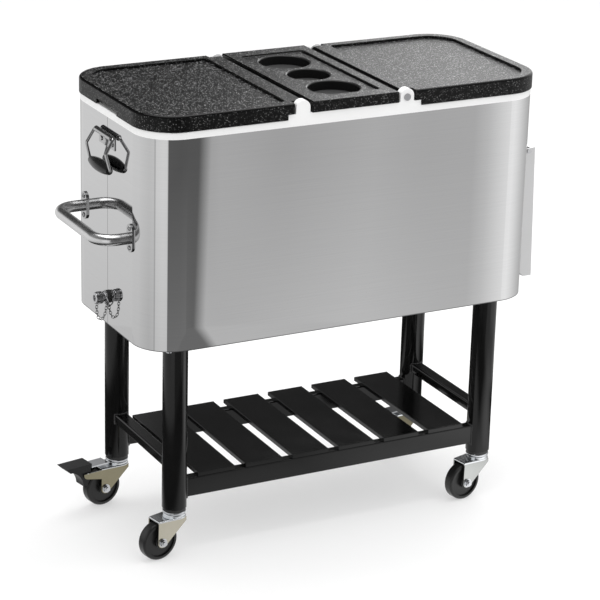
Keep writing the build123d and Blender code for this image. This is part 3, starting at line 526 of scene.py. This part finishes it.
def make_pebble_plastic(name, smooth_below):
    """Grained black plastic with painted glints on some crests, stronger facing up as painted light, and
    smooth rounded edges.

    Below a height it is smooth, with a little painted light where it is level, except near the front and
    back edges.
    """
    material, nodes, links = new_material(name)
    shader = nodes["Principled BSDF"]
    shader.inputs["Specular IOR Level"].default_value = pebble_shine
    place = add_node(nodes, "ShaderNodeTexCoord")
    spot = add_node(nodes, "ShaderNodeSeparateXYZ")
    slope = add_node(nodes, "ShaderNodeSeparateXYZ")
    join(links, (place, "Object", spot, "Vector"), (place, "Normal", slope, "Vector"))

    pebbles = add_node(nodes, "ShaderNodeTexVoronoi", {"Scale": 1 / pebble_size})
    split = add_node(nodes, "ShaderNodeSeparateColor")
    uncommon = add_math(nodes, "POWER", {1: painted_glints_rarity})
    crest_values = {"From Min": crest_distances[0], "From Max": crest_distances[1]}
    crest = add_node(nodes, "ShaderNodeMapRange", crest_values, interpolation_type="SMOOTHSTEP")
    join(
        links,
        (place, "Object", pebbles, "Vector"),
        (pebbles, "Color", split, "Color"),
        (split, "Red", uncommon, 0),
        (pebbles, "Distance", crest, "Value"),
    )

    start_values = {"From Min": smooth_below + grain_start[0], "From Max": smooth_below + grain_start[1]}
    raised = add_node(nodes, "ShaderNodeMapRange", start_values)
    off_middle = add_math(nodes, "ABSOLUTE")
    edge = add_math(nodes, "GREATER_THAN", {1: grained_edge_y})
    grained = add_math(nodes, "MAXIMUM")
    rounded = add_math(nodes, "COMPARE", {1: rounded_slope, 2: rounded_slope_spread})
    flat = add_math(nodes, "SUBTRACT")
    grain = add_math(nodes, "MAXIMUM", {1: 0})
    join(
        links,
        (spot, "Z", raised, "Value"),
        (spot, "Y", off_middle, 0),
        (off_middle, "Value", edge, 0),
        (raised, "Result", grained, 0),
        (edge, "Value", grained, 1),
        (slope, "Z", rounded, 0),
        (grained, "Value", flat, 0),
        (rounded, "Value", flat, 1),
        (flat, "Value", grain, 0),
    )

    slope_values = {"From Min": upward_slopes[0], "From Max": upward_slopes[1], "To Min": side_painted_glints}
    facing_up = add_node(nodes, "ShaderNodeMapRange", slope_values)
    grain_crest = add_math(nodes, "MULTIPLY")
    chosen = add_math(nodes, "MULTIPLY")
    painted_glints = add_math(nodes, "MULTIPLY")
    bare = add_math(nodes, "SUBTRACT", {0: 1})
    level = add_math(nodes, "POWER", {1: floor_painted_light_falloff})
    bare_floor = add_math(nodes, "MULTIPLY")
    painted_light = add_math(nodes, "MULTIPLY_ADD", {1: floor_painted_light})
    # Painted light: the light grey paints glints on the crests and lighter level floors, weighted towards
    # faces that point up.
    tones = {"A": (*pebble_black, 1), "B": (*painted_glints_grey, 1)}
    tone = add_node(nodes, "ShaderNodeMix", tones, data_type="RGBA")
    join(
        links,
        (slope, "Z", facing_up, "Value"),
        (crest, "Result", grain_crest, 0),
        (grain, "Value", grain_crest, 1),
        (uncommon, "Value", chosen, 0),
        (grain_crest, "Value", chosen, 1),
        (chosen, "Value", painted_glints, 0),
        (facing_up, "Result", painted_glints, 1),
        (grained, "Value", bare, 1),
        (facing_up, "Result", level, 0),
        (bare, "Value", bare_floor, 0),
        (level, "Value", bare_floor, 1),
        (bare_floor, "Value", painted_light, 0),
        (painted_glints, "Value", painted_light, 2),
        (painted_light, "Value", tone, "Factor"),
        (tone, "Result", shader, "Base Color"),
    )

    shiny = add_math(nodes, "MAXIMUM")
    gloss_values = {"To Min": pebble_roughness, "To Max": polished_roughness}
    gloss = add_node(nodes, "ShaderNodeMapRange", gloss_values)
    bump = add_node(nodes, "ShaderNodeBump", {"Strength": 1, "Distance": pebble_relief})
    join(
        links,
        (chosen, "Value", shiny, 0),
        (rounded, "Value", shiny, 1),
        (shiny, "Value", gloss, "Value"),
        (gloss, "Result", shader, "Roughness"),
        (grain_crest, "Value", bump, "Height"),
        (bump, "Normal", shader, "Normal"),
    )
    return material


panel_floor_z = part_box("cup_panel")[1].z - panel_tray_depth
dress(["left_lid", "right_lid"], make_pebble_plastic("lid_plastic", 0))
dress(["cup_panel"], make_pebble_plastic("panel_plastic", panel_floor_z))

# Push handle
# A bent and satin polished steel tube is welded to two bright oval flanges.
# Four screws hold the flanges to the end wall.
satin_tube = make_finish(
    "satin_tube", dark=(0.58, 0.58, 0.585), light=grey(0.7), gloss=(0.2, 0.3), grain=1800, relief=0.000008,
    Metallic=1.0,
)
plated_steel = make_finish(
    "plated_steel", dark=(0.36, 0.36, 0.365), light=grey(0.5), gloss=(0.05, 0.12), grain=1400,
    relief=0.00001, Metallic=1.0,
)
dress(["push_handle"], satin_tube)
dress(["push_handle_flanges"], plated_steel)

# Wall screws
# Pan headed screws with a cross recess hold the handle's flanges and the brackets of the shelf.
bracket_wall_thickness = 0.002
screw_sizes = {
    "Head Diameter": 0.009, "Head Height": 0.003, "Recess Length": 0.0052, "Recess Width": 0.0013,
}
screw_places = (
    {"carrier": "push_handle_flanges", "side": -1, "reach": 0.1035, "height": 0.615, "half_pitch": 0.018},
    {"carrier": "shelf_brackets", "side": 1, "reach": 0.1122, "height": 0.6722, "half_pitch": 0.006},
)


def screw_tree():
    """A domed head with a cross recess on every point, facing along the point's own direction."""
    tree, nodes, links, given, result = new_tree("cross_screw", {size: "Float" for size in screw_sizes})
    dome = add_node(nodes, "GeometryNodeMeshUVSphere", {"Segments": 28, "Rings": 14, "Radius": 0.5})
    tall = add_math(nodes, "MULTIPLY", {1: 2})
    size = add_node(nodes, "ShaderNodeCombineXYZ")
    head = add_node(nodes, "GeometryNodeTransform")
    cut = add_node(nodes, "GeometryNodeMeshBoolean", operation="DIFFERENCE", solver="EXACT")
    join(
        links,
        (given, "Head Height", tall, 0),
        (given, "Head Diameter", size, "X"),
        (given, "Head Diameter", size, "Y"),
        (tall, "Value", size, "Z"),
        (dome, "Mesh", head, "Geometry"),
        (size, "Vector", head, "Scale"),
        (head, "Geometry", cut, "Mesh 1"),
    )
    for first, second in (("Recess Length", "Recess Width"), ("Recess Width", "Recess Length")):
        slot_size = add_node(nodes, "ShaderNodeCombineXYZ")
        bar = add_node(nodes, "GeometryNodeMeshCube")
        lift = add_node(nodes, "ShaderNodeCombineXYZ")
        raised = add_node(nodes, "GeometryNodeTransform")
        join(
            links,
            (given, first, slot_size, "X"),
            (given, second, slot_size, "Y"),
            (given, "Head Height", slot_size, "Z"),
            (slot_size, "Vector", bar, "Size"),
            (given, "Head Height", lift, "Z"),
            (bar, "Mesh", raised, "Geometry"),
            (lift, "Vector", raised, "Translation"),
            (raised, "Geometry", cut, "Mesh 2"),
        )
    facing_name = {"Name": "facing"}
    facing = add_node(nodes, "GeometryNodeInputNamedAttribute", facing_name, data_type="FLOAT_VECTOR")
    turn = add_node(nodes, "FunctionNodeAlignRotationToVector", axis="Z")
    heads = add_node(nodes, "GeometryNodeInstanceOnPoints")
    join(
        links,
        (given, "Geometry", heads, "Points"),
        (cut, "Mesh", heads, "Instance"),
        (facing, "Attribute", turn, "Vector"),
        (turn, "Rotation", heads, "Rotation"),
    )
    end_tree(nodes, links, heads, result, plated_steel)
    return tree


screw_points, screw_facing = [], []
for row in screw_places:
    outer_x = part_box(row["carrier"])[0].x
    face_x = outer_x if row["side"] < 0 else outer_x + bracket_wall_thickness
    for y in (-row["reach"], row["reach"]):
        for z in (row["height"] - row["half_pitch"], row["height"] + row["half_pitch"]):
            screw_points.append((face_x, y, z))
            screw_facing.append((row["side"], 0, 0))
screw_mesh = bpy.data.meshes.new("screw_points")
screw_mesh.from_pydata(screw_points, [], [])
facing_layer = screw_mesh.attributes.new("facing", "FLOAT_VECTOR", "POINT")
for entry, direction in zip(facing_layer.data, screw_facing):
    entry.vector = direction
screw_heads = grow("screw_heads", screw_mesh, screw_tree(), screw_sizes)
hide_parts("wall_screws")
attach(screw_heads, "cart")

# Carry handle
# A bent wire bail hangs from a folded bracket held by two rivets, with a fat moulded grip on the wire.
grip_plastic = make_finish(
    "grip_plastic", dark=grey(0.006), light=grey(0.012), gloss=(0.2, 0.32), grain=900, relief=0.00004,
    Specular_IOR_Level=0.28,
)
dress(["bail_bracket", "bail_rivets", "bail_wire"], plated_steel)
dress(["bail_grip"], grip_plastic)

# Drain
# A chromed spout through the end wall, sealed by a rubber washer, closed by a ribbed screw cap on a chain.
chrome = make_finish(
    "drain_chrome", dark=(0.46, 0.46, 0.47), light=(0.62, 0.62, 0.63), gloss=(0.06, 0.14), grain=1400,
    relief=0.00001, Metallic=1.0,
)
seal_rubber = make_finish(
    "seal_rubber", dark=grey(0.012), light=grey(0.02), gloss=(0.5, 0.66), grain=900, relief=0.00006,
)
dress(["drain_spout", "drain_lock_nut", "drain_cap", "drain_cap_ring"], chrome)
dress(["drain_gasket"], seal_rubber)

# Cap ribs
# Round ribs along the cap, half sunk into it, give wet fingers a hold.
rib_count = 28
rib_diameter = 0.0017
rib_sink = 0.0002
rib_from_ring = 0.0012
rib_from_rim = 0.0018


def rib_tree():
    """Straight round ribs in a ring about the X axis through the holder's one point."""
    sizes = {"Rib Count": "Int", "Ring Radius": "Float", "Rib Diameter": "Float", "Rib Length": "Float"}
    tree, nodes, links, given, result = new_tree("cap_ribs", sizes)
    ring = add_node(nodes, "GeometryNodeMeshCircle")
    rib = add_node(nodes, "GeometryNodeMeshCylinder", {"Vertices": 10})
    half = add_math(nodes, "DIVIDE", {1: 2})
    ribs = add_node(nodes, "GeometryNodeInstanceOnPoints")
    along_x = add_node(nodes, "GeometryNodeTransform", {"Rotation": (0, math.pi / 2, 0)})
    placed = add_node(nodes, "GeometryNodeInstanceOnPoints")
    join(
        links,
        (given, "Rib Count", ring, "Vertices"),
        (given, "Ring Radius", ring, "Radius"),
        (given, "Rib Diameter", half, 0),
        (half, "Value", rib, "Radius"),
        (given, "Rib Length", rib, "Depth"),
        (ring, "Mesh", ribs, "Points"),
        (rib, "Mesh", ribs, "Instance"),
        (ribs, "Instances", along_x, "Geometry"),
        (given, "Geometry", placed, "Points"),
        (along_x, "Geometry", placed, "Instance"),
    )
    end_tree(nodes, links, placed, result, chrome)
    return tree


cap_low, cap_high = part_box("drain_cap")
ring_low, ring_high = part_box("drain_cap_ring")
drain_z = (cap_low.z + cap_high.z) / 2
rib_start = ring_high.x + rib_from_ring
rib_end = cap_high.x - rib_from_rim
rib_point = bpy.data.meshes.new("rib_point")
rib_point.from_pydata([((rib_start + rib_end) / 2, 0, drain_z)], [], [])
cap_ribs = grow(
    "cap_ribs", rib_point, rib_tree(),
    {
        "Rib Count": rib_count,
        "Ring Radius": (cap_high.z - cap_low.z) / 2 - rib_sink,
        "Rib Diameter": rib_diameter,
        "Rib Length": rib_end - rib_start,
    },
)
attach(cap_ribs, "drain_cap")

# Drain chain
# Small oval links of steel wire hang in a loop from the loose ring of the cap.
# Their other end hangs from a ring that leans from the neck of the spout to the wall.
link_length = 0.0072
link_width = 0.0048
link_wire = 0.0012
link_overlap = 1.7 * link_wire
chain_radius = 0.001
neck_radius = 0.0085
ring_lean = math.radians(16)
spout_ring_radius = 0.014
ring_wire_radius = 0.0012
ring_segments = 48
ring_section_points = 12
loop_inset = 0.004
hook_inset = 0.001
chain_steel = make_finish(
    "chain_steel", dark=(0.2, 0.2, 0.205), light=grey(0.34), gloss=(0.12, 0.22), grain=1400, relief=0.00001,
    Metallic=1.0,
)


def chain_tree():
    """Oval wire links along the line of the mesh, every second one turned a quarter."""
    sizes = {"Link Length": "Float", "Link Width": "Float", "Wire Diameter": "Float", "Link Pitch": "Float"}
    tree, nodes, links, given, result = new_tree("chain_links", sizes)
    line = add_node(nodes, "GeometryNodeMeshToCurve")
    steps = add_node(nodes, "GeometryNodeResampleCurve", mode="LENGTH")
    loop = add_node(nodes, "GeometryNodeCurvePrimitiveCircle", {"Resolution": 20, "Radius": 0.5})
    oval = add_node(nodes, "GeometryNodeTransform")
    oval_size = add_node(nodes, "ShaderNodeCombineXYZ", {"Z": 1})
    section = add_node(nodes, "GeometryNodeCurvePrimitiveCircle", {"Resolution": 8})
    half = add_math(nodes, "DIVIDE", {1: 2})
    wire = add_node(nodes, "GeometryNodeCurveToMesh")
    along = add_node(nodes, "GeometryNodeInputTangent")
    turn = add_node(nodes, "FunctionNodeAlignRotationToVector", axis="X")
    number = add_node(nodes, "GeometryNodeInputIndex")
    odd = add_math(nodes, "MODULO", {1: 2})
    quarter = add_math(nodes, "MULTIPLY", {1: math.pi / 2})
    twist = add_node(nodes, "ShaderNodeCombineXYZ")
    to_rotation = add_node(nodes, "FunctionNodeEulerToRotation")
    both = add_node(nodes, "FunctionNodeRotateRotation", rotation_space="LOCAL")
    wire_links = add_node(nodes, "GeometryNodeInstanceOnPoints")
    join(
        links,
        (given, "Geometry", line, "Mesh"),
        (line, "Curve", steps, "Curve"),
        (given, "Link Pitch", steps, "Length"),
        (given, "Link Length", oval_size, "X"),
        (given, "Link Width", oval_size, "Y"),
        (loop, "Curve", oval, "Geometry"),
        (oval_size, "Vector", oval, "Scale"),
        (given, "Wire Diameter", half, 0),
        (half, "Value", section, "Radius"),
        (oval, "Geometry", wire, "Curve"),
        (section, "Curve", wire, "Profile Curve"),
        (along, "Tangent", turn, "Vector"),
        (number, "Index", odd, 0),
        (odd, "Value", quarter, 0),
        (quarter, "Value", twist, "X"),
        (twist, "Vector", to_rotation, "Euler"),
        (turn, "Rotation", both, "Rotation"),
        (to_rotation, "Rotation", both, "Rotate By"),
        (steps, "Curve", wire_links, "Points"),
        (wire, "Mesh", wire_links, "Instance"),
        (both, "Rotation", wire_links, "Rotation"),
    )
    end_tree(nodes, links, wire_links, result, chain_steel, smooth=True)
    return tree


chain_low, chain_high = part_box("drain_chain")
cap_ring_x = (ring_low.x + ring_high.x) / 2
neck_x = chain_high.x - ring_wire_radius
neck_top = drain_z + neck_radius + ring_wire_radius
ring_foot_x = neck_x + 2 * spout_ring_radius * math.sin(ring_lean)
ring_foot_z = neck_top - 2 * spout_ring_radius * math.cos(ring_lean)
low_z = chain_low.z + chain_radius
route = bpy.data.curves.new("chain_route", "CURVE")
route.dimensions = "3D"
hang = route.splines.new("NURBS")
hang_points = (
    (cap_ring_x, 0, ring_low.z),
    (cap_ring_x, 0, low_z),
    (ring_foot_x - loop_inset, 0, low_z),
    (ring_foot_x - hook_inset, 0, ring_foot_z),
)
hang.points.add(len(hang_points) - 1)
for point, place in zip(hang.points, hang_points):
    point.co = (*place, 1)
hang.order_u = 3
hang.use_endpoint_u = True
hang.resolution_u = 24
route_object = show("chain_route", route)
chain_line = bpy.data.meshes.new_from_object(route_object)
bpy.data.objects.remove(route_object)
drain_chain = grow(
    "hanging_chain", chain_line, chain_tree(),
    {
        "Link Length": link_length,
        "Link Width": link_width,
        "Wire Diameter": link_wire,
        "Link Pitch": link_length - link_overlap,
    },
)


def make_wire_ring(name, wire_radius, material):
    """A closed ring of round wire about the X axis, with its top at the origin."""
    shape = bmesh.new()
    rings = []
    for step in range(ring_segments):
        around = 2 * math.pi * step / ring_segments
        ring = []
        for point in range(ring_section_points):
            turn = 2 * math.pi * point / ring_section_points
            reach = spout_ring_radius + wire_radius * math.cos(turn)
            across = reach * math.cos(around)
            height = reach * math.sin(around) - spout_ring_radius
            ring.append(shape.verts.new((wire_radius * math.sin(turn), across, height)))
        rings.append(ring)
    for first, second in zip(rings, rings[1:] + rings[:1]):
        for one in range(ring_section_points):
            two = (one + 1) % ring_section_points
            shape.faces.new((first[one], first[two], second[two], second[one]))
    bmesh.ops.recalc_face_normals(shape, faces=shape.faces)
    mesh = bpy.data.meshes.new(name)
    shape.to_mesh(mesh)
    shape.free()
    mesh.materials.append(material)
    mesh.shade_smooth()
    return show(name, mesh)


spout_ring = make_wire_ring("spout_ring", ring_wire_radius, chrome)
lean_from_neck = Matrix.Translation((neck_x, 0, neck_top)) @ Matrix.Rotation(-ring_lean, 4, "Y")
spout_ring.data.transform(lean_from_neck)
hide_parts("drain_chain")
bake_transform(drain_chain)
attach(spout_ring, "cart")

# Side shelf
# A folded tray of satin steel sheet, hung on two pivots and let down flat against the end wall.
satin_sheet = make_sheet_steel(
    "satin_sheet_steel", dark=(0.5, 0.5, 0.505), light=grey(0.6), gloss=(0.3, 0.4), stretch=(9, 500, 9),
    relief=0.000004, anisotropy=0.4, turn=0.0,
)
dress(["side_shelf", "shelf_brackets"], satin_sheet)
dress(["shelf_pivot_pins"], pin_metal)

# Floor, light and camera
# A pale floor with a faint glow, which keeps the shadow light, under a soft overhead light.
# A round screen that only mirrors see gives the steel its bands.
floor_half = 14
floor_corners = [(x * floor_half, y * floor_half, 0) for x, y in ((-1, -1), (1, -1), (1, 1), (-1, 1))]
floor_mesh = bpy.data.meshes.new("floor")
floor_mesh.from_pydata(floor_corners, [], [(0, 1, 2, 3)])
floor = show("floor", floor_mesh)
floor_paint = make_finish(
    "pale_floor", dark=grey(0.5), light=grey(0.52), gloss=(0.8, 0.9), grain=60, relief=0.0,
    Emission_Color=(1, 1, 1, 1), Emission_Strength=0.45,
)
floor_mesh.materials.append(floor_paint)

screen_radius = 1.3
screen_foot = 0.002
screen_top = 2.4
screen_step = 5
# Brightness of the screen by degrees from the front, towards the shelf end.
# The foot and the middle shape the walls and slats, and the top shapes the lids.
lit_side = ((42, 1.25), (52, 1.3), (64, 1.15), (80, 0.9), (95, 0.7), (112, 0.5))
foot_bands = (
    (-180, 0.5), (-168, 0.55), (-158, 0.75), (-150, 0.8), (-110, 0.8), (-80, 0.66), (-69, 0.7), (-67, 0.45),
    (-65, 0.8), (-50, 0.86), (-41, 0.85), (-39, 1.0), (-8, 0.96), (8, 0.98), (10.4, 0.72), (12.8, 0.7),
    (16, 0.72), (27, 0.82), (36, 0.74), (38.5, 0.74), (40, 0.95), *lit_side,
    (130, 0.8), (160, 0.85), (180, 0.5),
)
middle_bands = (
    (-180, 0.46), (-168, 0.52), (-158, 0.88), (-150, 0.92), (-110, 0.94), (-80, 0.84), (-69, 0.86),
    (-67, 0.5), (-65, 0.98), (-50, 1.04), (-41, 1.02), (-39, 0.58), (-8, 0.54), (9.8, 0.56), (11.6, 0.58),
    (12.8, 0.65), (19, 0.58), (28, 0.68), (33, 0.64), (38.5, 0.66), (40, 0.9), *lit_side,
    (124, 0.1), (164, 0.1), (172, 0.34), (180, 0.46),
)
top_bands = (
    (-180, 0.04), (-150, 0.06), (-110, 0.3), (-40, 0.1), (5, 0.1), (60, 0.6), (110, 1.4), (132, 2.8),
    (146, 2.0), (154, 0.5), (162, 0.12), (180, 0.04),
)
foot_to_middle = (0.0, 0.42)
middle_to_top = (0.82, 1.0)
# The dark band beside the front corner, with edges that are sharper than a colour ramp can draw.
dark_middle = -14.35
dark_lean = 1.0
dark_edge = (24.4, 25.6)
dark_share = 0.26
# Brightness of the ground in the mirrors by metres from the middle: pale round the casters and far out,
# dark under the handle, with a pale patch in front of the shelf end that lights the rail and the leg there.
ground_bands = ((0, 0.8), (0.4, 0.8), (0.48, 0.5), (0.56, 0.04), (1, 0.04))
far_reach = (0.9, 1.0)
far_shine = 0.71
patch_middle = (0.55, -0.48, 0)
patch_reach = (0.45, 0.1)
patch_shine = 1.6


def angle_from_front(nodes, links):
    """Nodes for a point's place and for its angle from the front, towards the shelf end."""
    place = add_node(nodes, "ShaderNodeTexCoord")
    axes = add_node(nodes, "ShaderNodeSeparateXYZ")
    forward = add_math(nodes, "MULTIPLY", {1: -1})
    angle = add_math(nodes, "ARCTAN2")
    join(
        links,
        (place, "Object", axes, "Vector"),
        (axes, "Y", forward, 0),
        (axes, "X", angle, 0),
        (forward, "Value", angle, 1),
    )
    return axes, angle


def dark_band(nodes, links, axes, angle):
    """A node for the share of light that the dark band leaves at a point."""
    leaning = add_math(nodes, "MULTIPLY_ADD", {1: math.radians(dark_lean), 2: math.radians(dark_middle)})
    off_middle = add_math(nodes, "SUBTRACT")
    to_side = add_math(nodes, "ABSOLUTE")
    inner, outer = (math.radians(degrees) for degrees in dark_edge)
    edge_values = {"From Min": inner, "From Max": outer, "To Min": dark_share}
    dark = add_node(nodes, "ShaderNodeMapRange", edge_values)
    join(
        links,
        (axes, "Z", leaning, 0),
        (angle, "Value", off_middle, 0),
        (leaning, "Value", off_middle, 1),
        (off_middle, "Value", to_side, 0),
        (to_side, "Value", dark, "Value"),
    )
    return dark


def add_ramp(nodes, stops):
    """A ramp of greys at positions from 0 to 1."""
    ramp = add_node(nodes, "ShaderNodeValToRGB")
    elements = ramp.color_ramp.elements
    while len(elements) < len(stops):
        elements.new(0.5)
    for element, (position, shine) in zip(elements, stops):
        element.position = position
        element.color = (*grey(shine), 1)
    return ramp


def make_screen_paint():
    """Light in bands round the screen, which change from its foot to its middle and its top."""
    paint, nodes, links = new_material("mirror_screen")
    nodes.remove(nodes["Principled BSDF"])
    axes, angle = angle_from_front(nodes, links)
    dark = dark_band(nodes, links, axes, angle)
    share = add_node(nodes, "ShaderNodeMapRange", {"From Min": -math.pi, "From Max": math.pi})
    join(links, (angle, "Value", share, "Value"))
    ramps = []
    for bands in (foot_bands, middle_bands, top_bands):
        ramp = add_ramp(nodes, [((degrees + 180) / 360, shine) for degrees, shine in bands])
        join(links, (share, "Result", ramp, "Fac"))
        ramps.append(ramp)
    changes = []
    for low, high in (foot_to_middle, middle_to_top):
        height = add_node(nodes, "ShaderNodeMapRange", {"From Min": low, "From Max": high})
        change = add_node(nodes, "ShaderNodeMix", data_type="RGBA")
        join(links, (axes, "Z", height, "Value"), (height, "Result", change, "Factor"))
        changes.append(change)
    foot, middle, top = ramps
    walls, whole = changes
    shaded = add_node(nodes, "ShaderNodeVectorMath", operation="SCALE")
    glow = add_node(nodes, "ShaderNodeEmission")
    join(
        links,
        (foot, "Color", walls, "A"),
        (middle, "Color", walls, "B"),
        (walls, "Result", shaded, 0),
        (dark, "Result", shaded, "Scale"),
        (shaded, "Vector", whole, "A"),
        (top, "Color", whole, "B"),
        (whole, "Result", glow, "Color"),
        (glow, "Emission", nodes["Material Output"], "Surface"),
    )
    return paint


def make_ground_paint():
    """Light on the mirrored ground by distance, with the dark band far out and the pale patch."""
    paint, nodes, links = new_material("mirror_ground")
    nodes.remove(nodes["Principled BSDF"])
    axes, angle = angle_from_front(nodes, links)
    dark = dark_band(nodes, links, axes, angle)
    place = add_node(nodes, "ShaderNodeTexCoord")
    reach = add_node(nodes, "ShaderNodeVectorMath", operation="LENGTH")
    near = add_ramp(nodes, ground_bands)
    far_values = {"From Min": far_reach[0], "From Max": far_reach[1], "To Max": far_shine}
    far = add_node(nodes, "ShaderNodeMapRange", far_values)
    with_far = add_math(nodes, "MULTIPLY_ADD")
    off_patch = add_node(nodes, "ShaderNodeVectorMath", {1: patch_middle}, operation="DISTANCE")
    patch_values = {"From Min": patch_reach[0], "From Max": patch_reach[1], "To Max": patch_shine}
    patch = add_node(nodes, "ShaderNodeMapRange", patch_values)
    both = add_math(nodes, "ADD")
    glow = add_node(nodes, "ShaderNodeEmission", {"Color": (1, 1, 1, 1)})
    join(
        links,
        (place, "Object", reach, 0),
        (reach, "Value", near, "Fac"),
        (reach, "Value", far, "Value"),
        (far, "Result", with_far, 0),
        (dark, "Result", with_far, 1),
        (near, "Color", with_far, 2),
        (place, "Object", off_patch, 0),
        (off_patch, "Value", patch, "Value"),
        (with_far, "Value", both, 0),
        (patch, "Result", both, 1),
        (both, "Value", glow, "Strength"),
        (glow, "Emission", nodes["Material Output"], "Surface"),
    )
    return paint


screen_mesh = bmesh.new()
screen_rows = []
for degrees in range(-180, 181, screen_step):
    angle = math.radians(degrees)
    out = Vector((math.sin(angle), -math.cos(angle), 0)) * screen_radius
    row = [screen_mesh.verts.new((out.x, out.y, height)) for height in (screen_foot, screen_top)]
    screen_rows.append(row)
for first, second in zip(screen_rows, screen_rows[1:]):
    screen_mesh.faces.new((first[0], first[1], second[1], second[0]))
ground = screen_mesh.faces.new([row[0] for row in screen_rows[:-1]])
ground.material_index = 1
screen_data = bpy.data.meshes.new("mirror_screen")
screen_mesh.to_mesh(screen_data)
screen_mesh.free()
screen_data.materials.append(make_screen_paint())
screen_data.materials.append(make_ground_paint())
screen = show("mirror_screen", screen_data)
screen.visible_camera = False
screen.visible_diffuse = False
screen.visible_shadow = False
screen.visible_transmission = False

world = bpy.data.worlds.new("studio")
world.use_nodes = True
background = world.node_tree.nodes["Background"]
background.inputs["Color"].default_value = (1, 1, 1, 1)
background.inputs["Strength"].default_value = 1.0
bpy.context.scene.world = world
bpy.context.scene.view_settings.view_transform = "Standard"
softbox_place = (0.3, 0.2, 2.7)
softbox = bpy.data.lights.new("softbox", "AREA")
softbox.shape = "RECTANGLE"
softbox.size = 2.6
softbox.size_y = 2.0
softbox.energy = 46
show("softbox", softbox).location = softbox_place

camera_place = (-2.0251, -3.8443, 1.9877)
camera_heading = 27.966
camera_dip = 19.959
camera_roll = 1.54
camera = bpy.data.cameras.new("camera")
camera.lens = 146.67
camera.sensor_width = 36
camera_object = show("camera", camera)
turned = Euler((math.radians(90 - camera_dip), 0, math.radians(-camera_heading))).to_matrix()
rolled = turned @ Matrix.Rotation(math.radians(camera_roll), 3, "Z")
camera_object.matrix_world = Matrix.Translation(camera_place) @ rolled.to_4x4()
bpy.context.scene.camera = camera_object
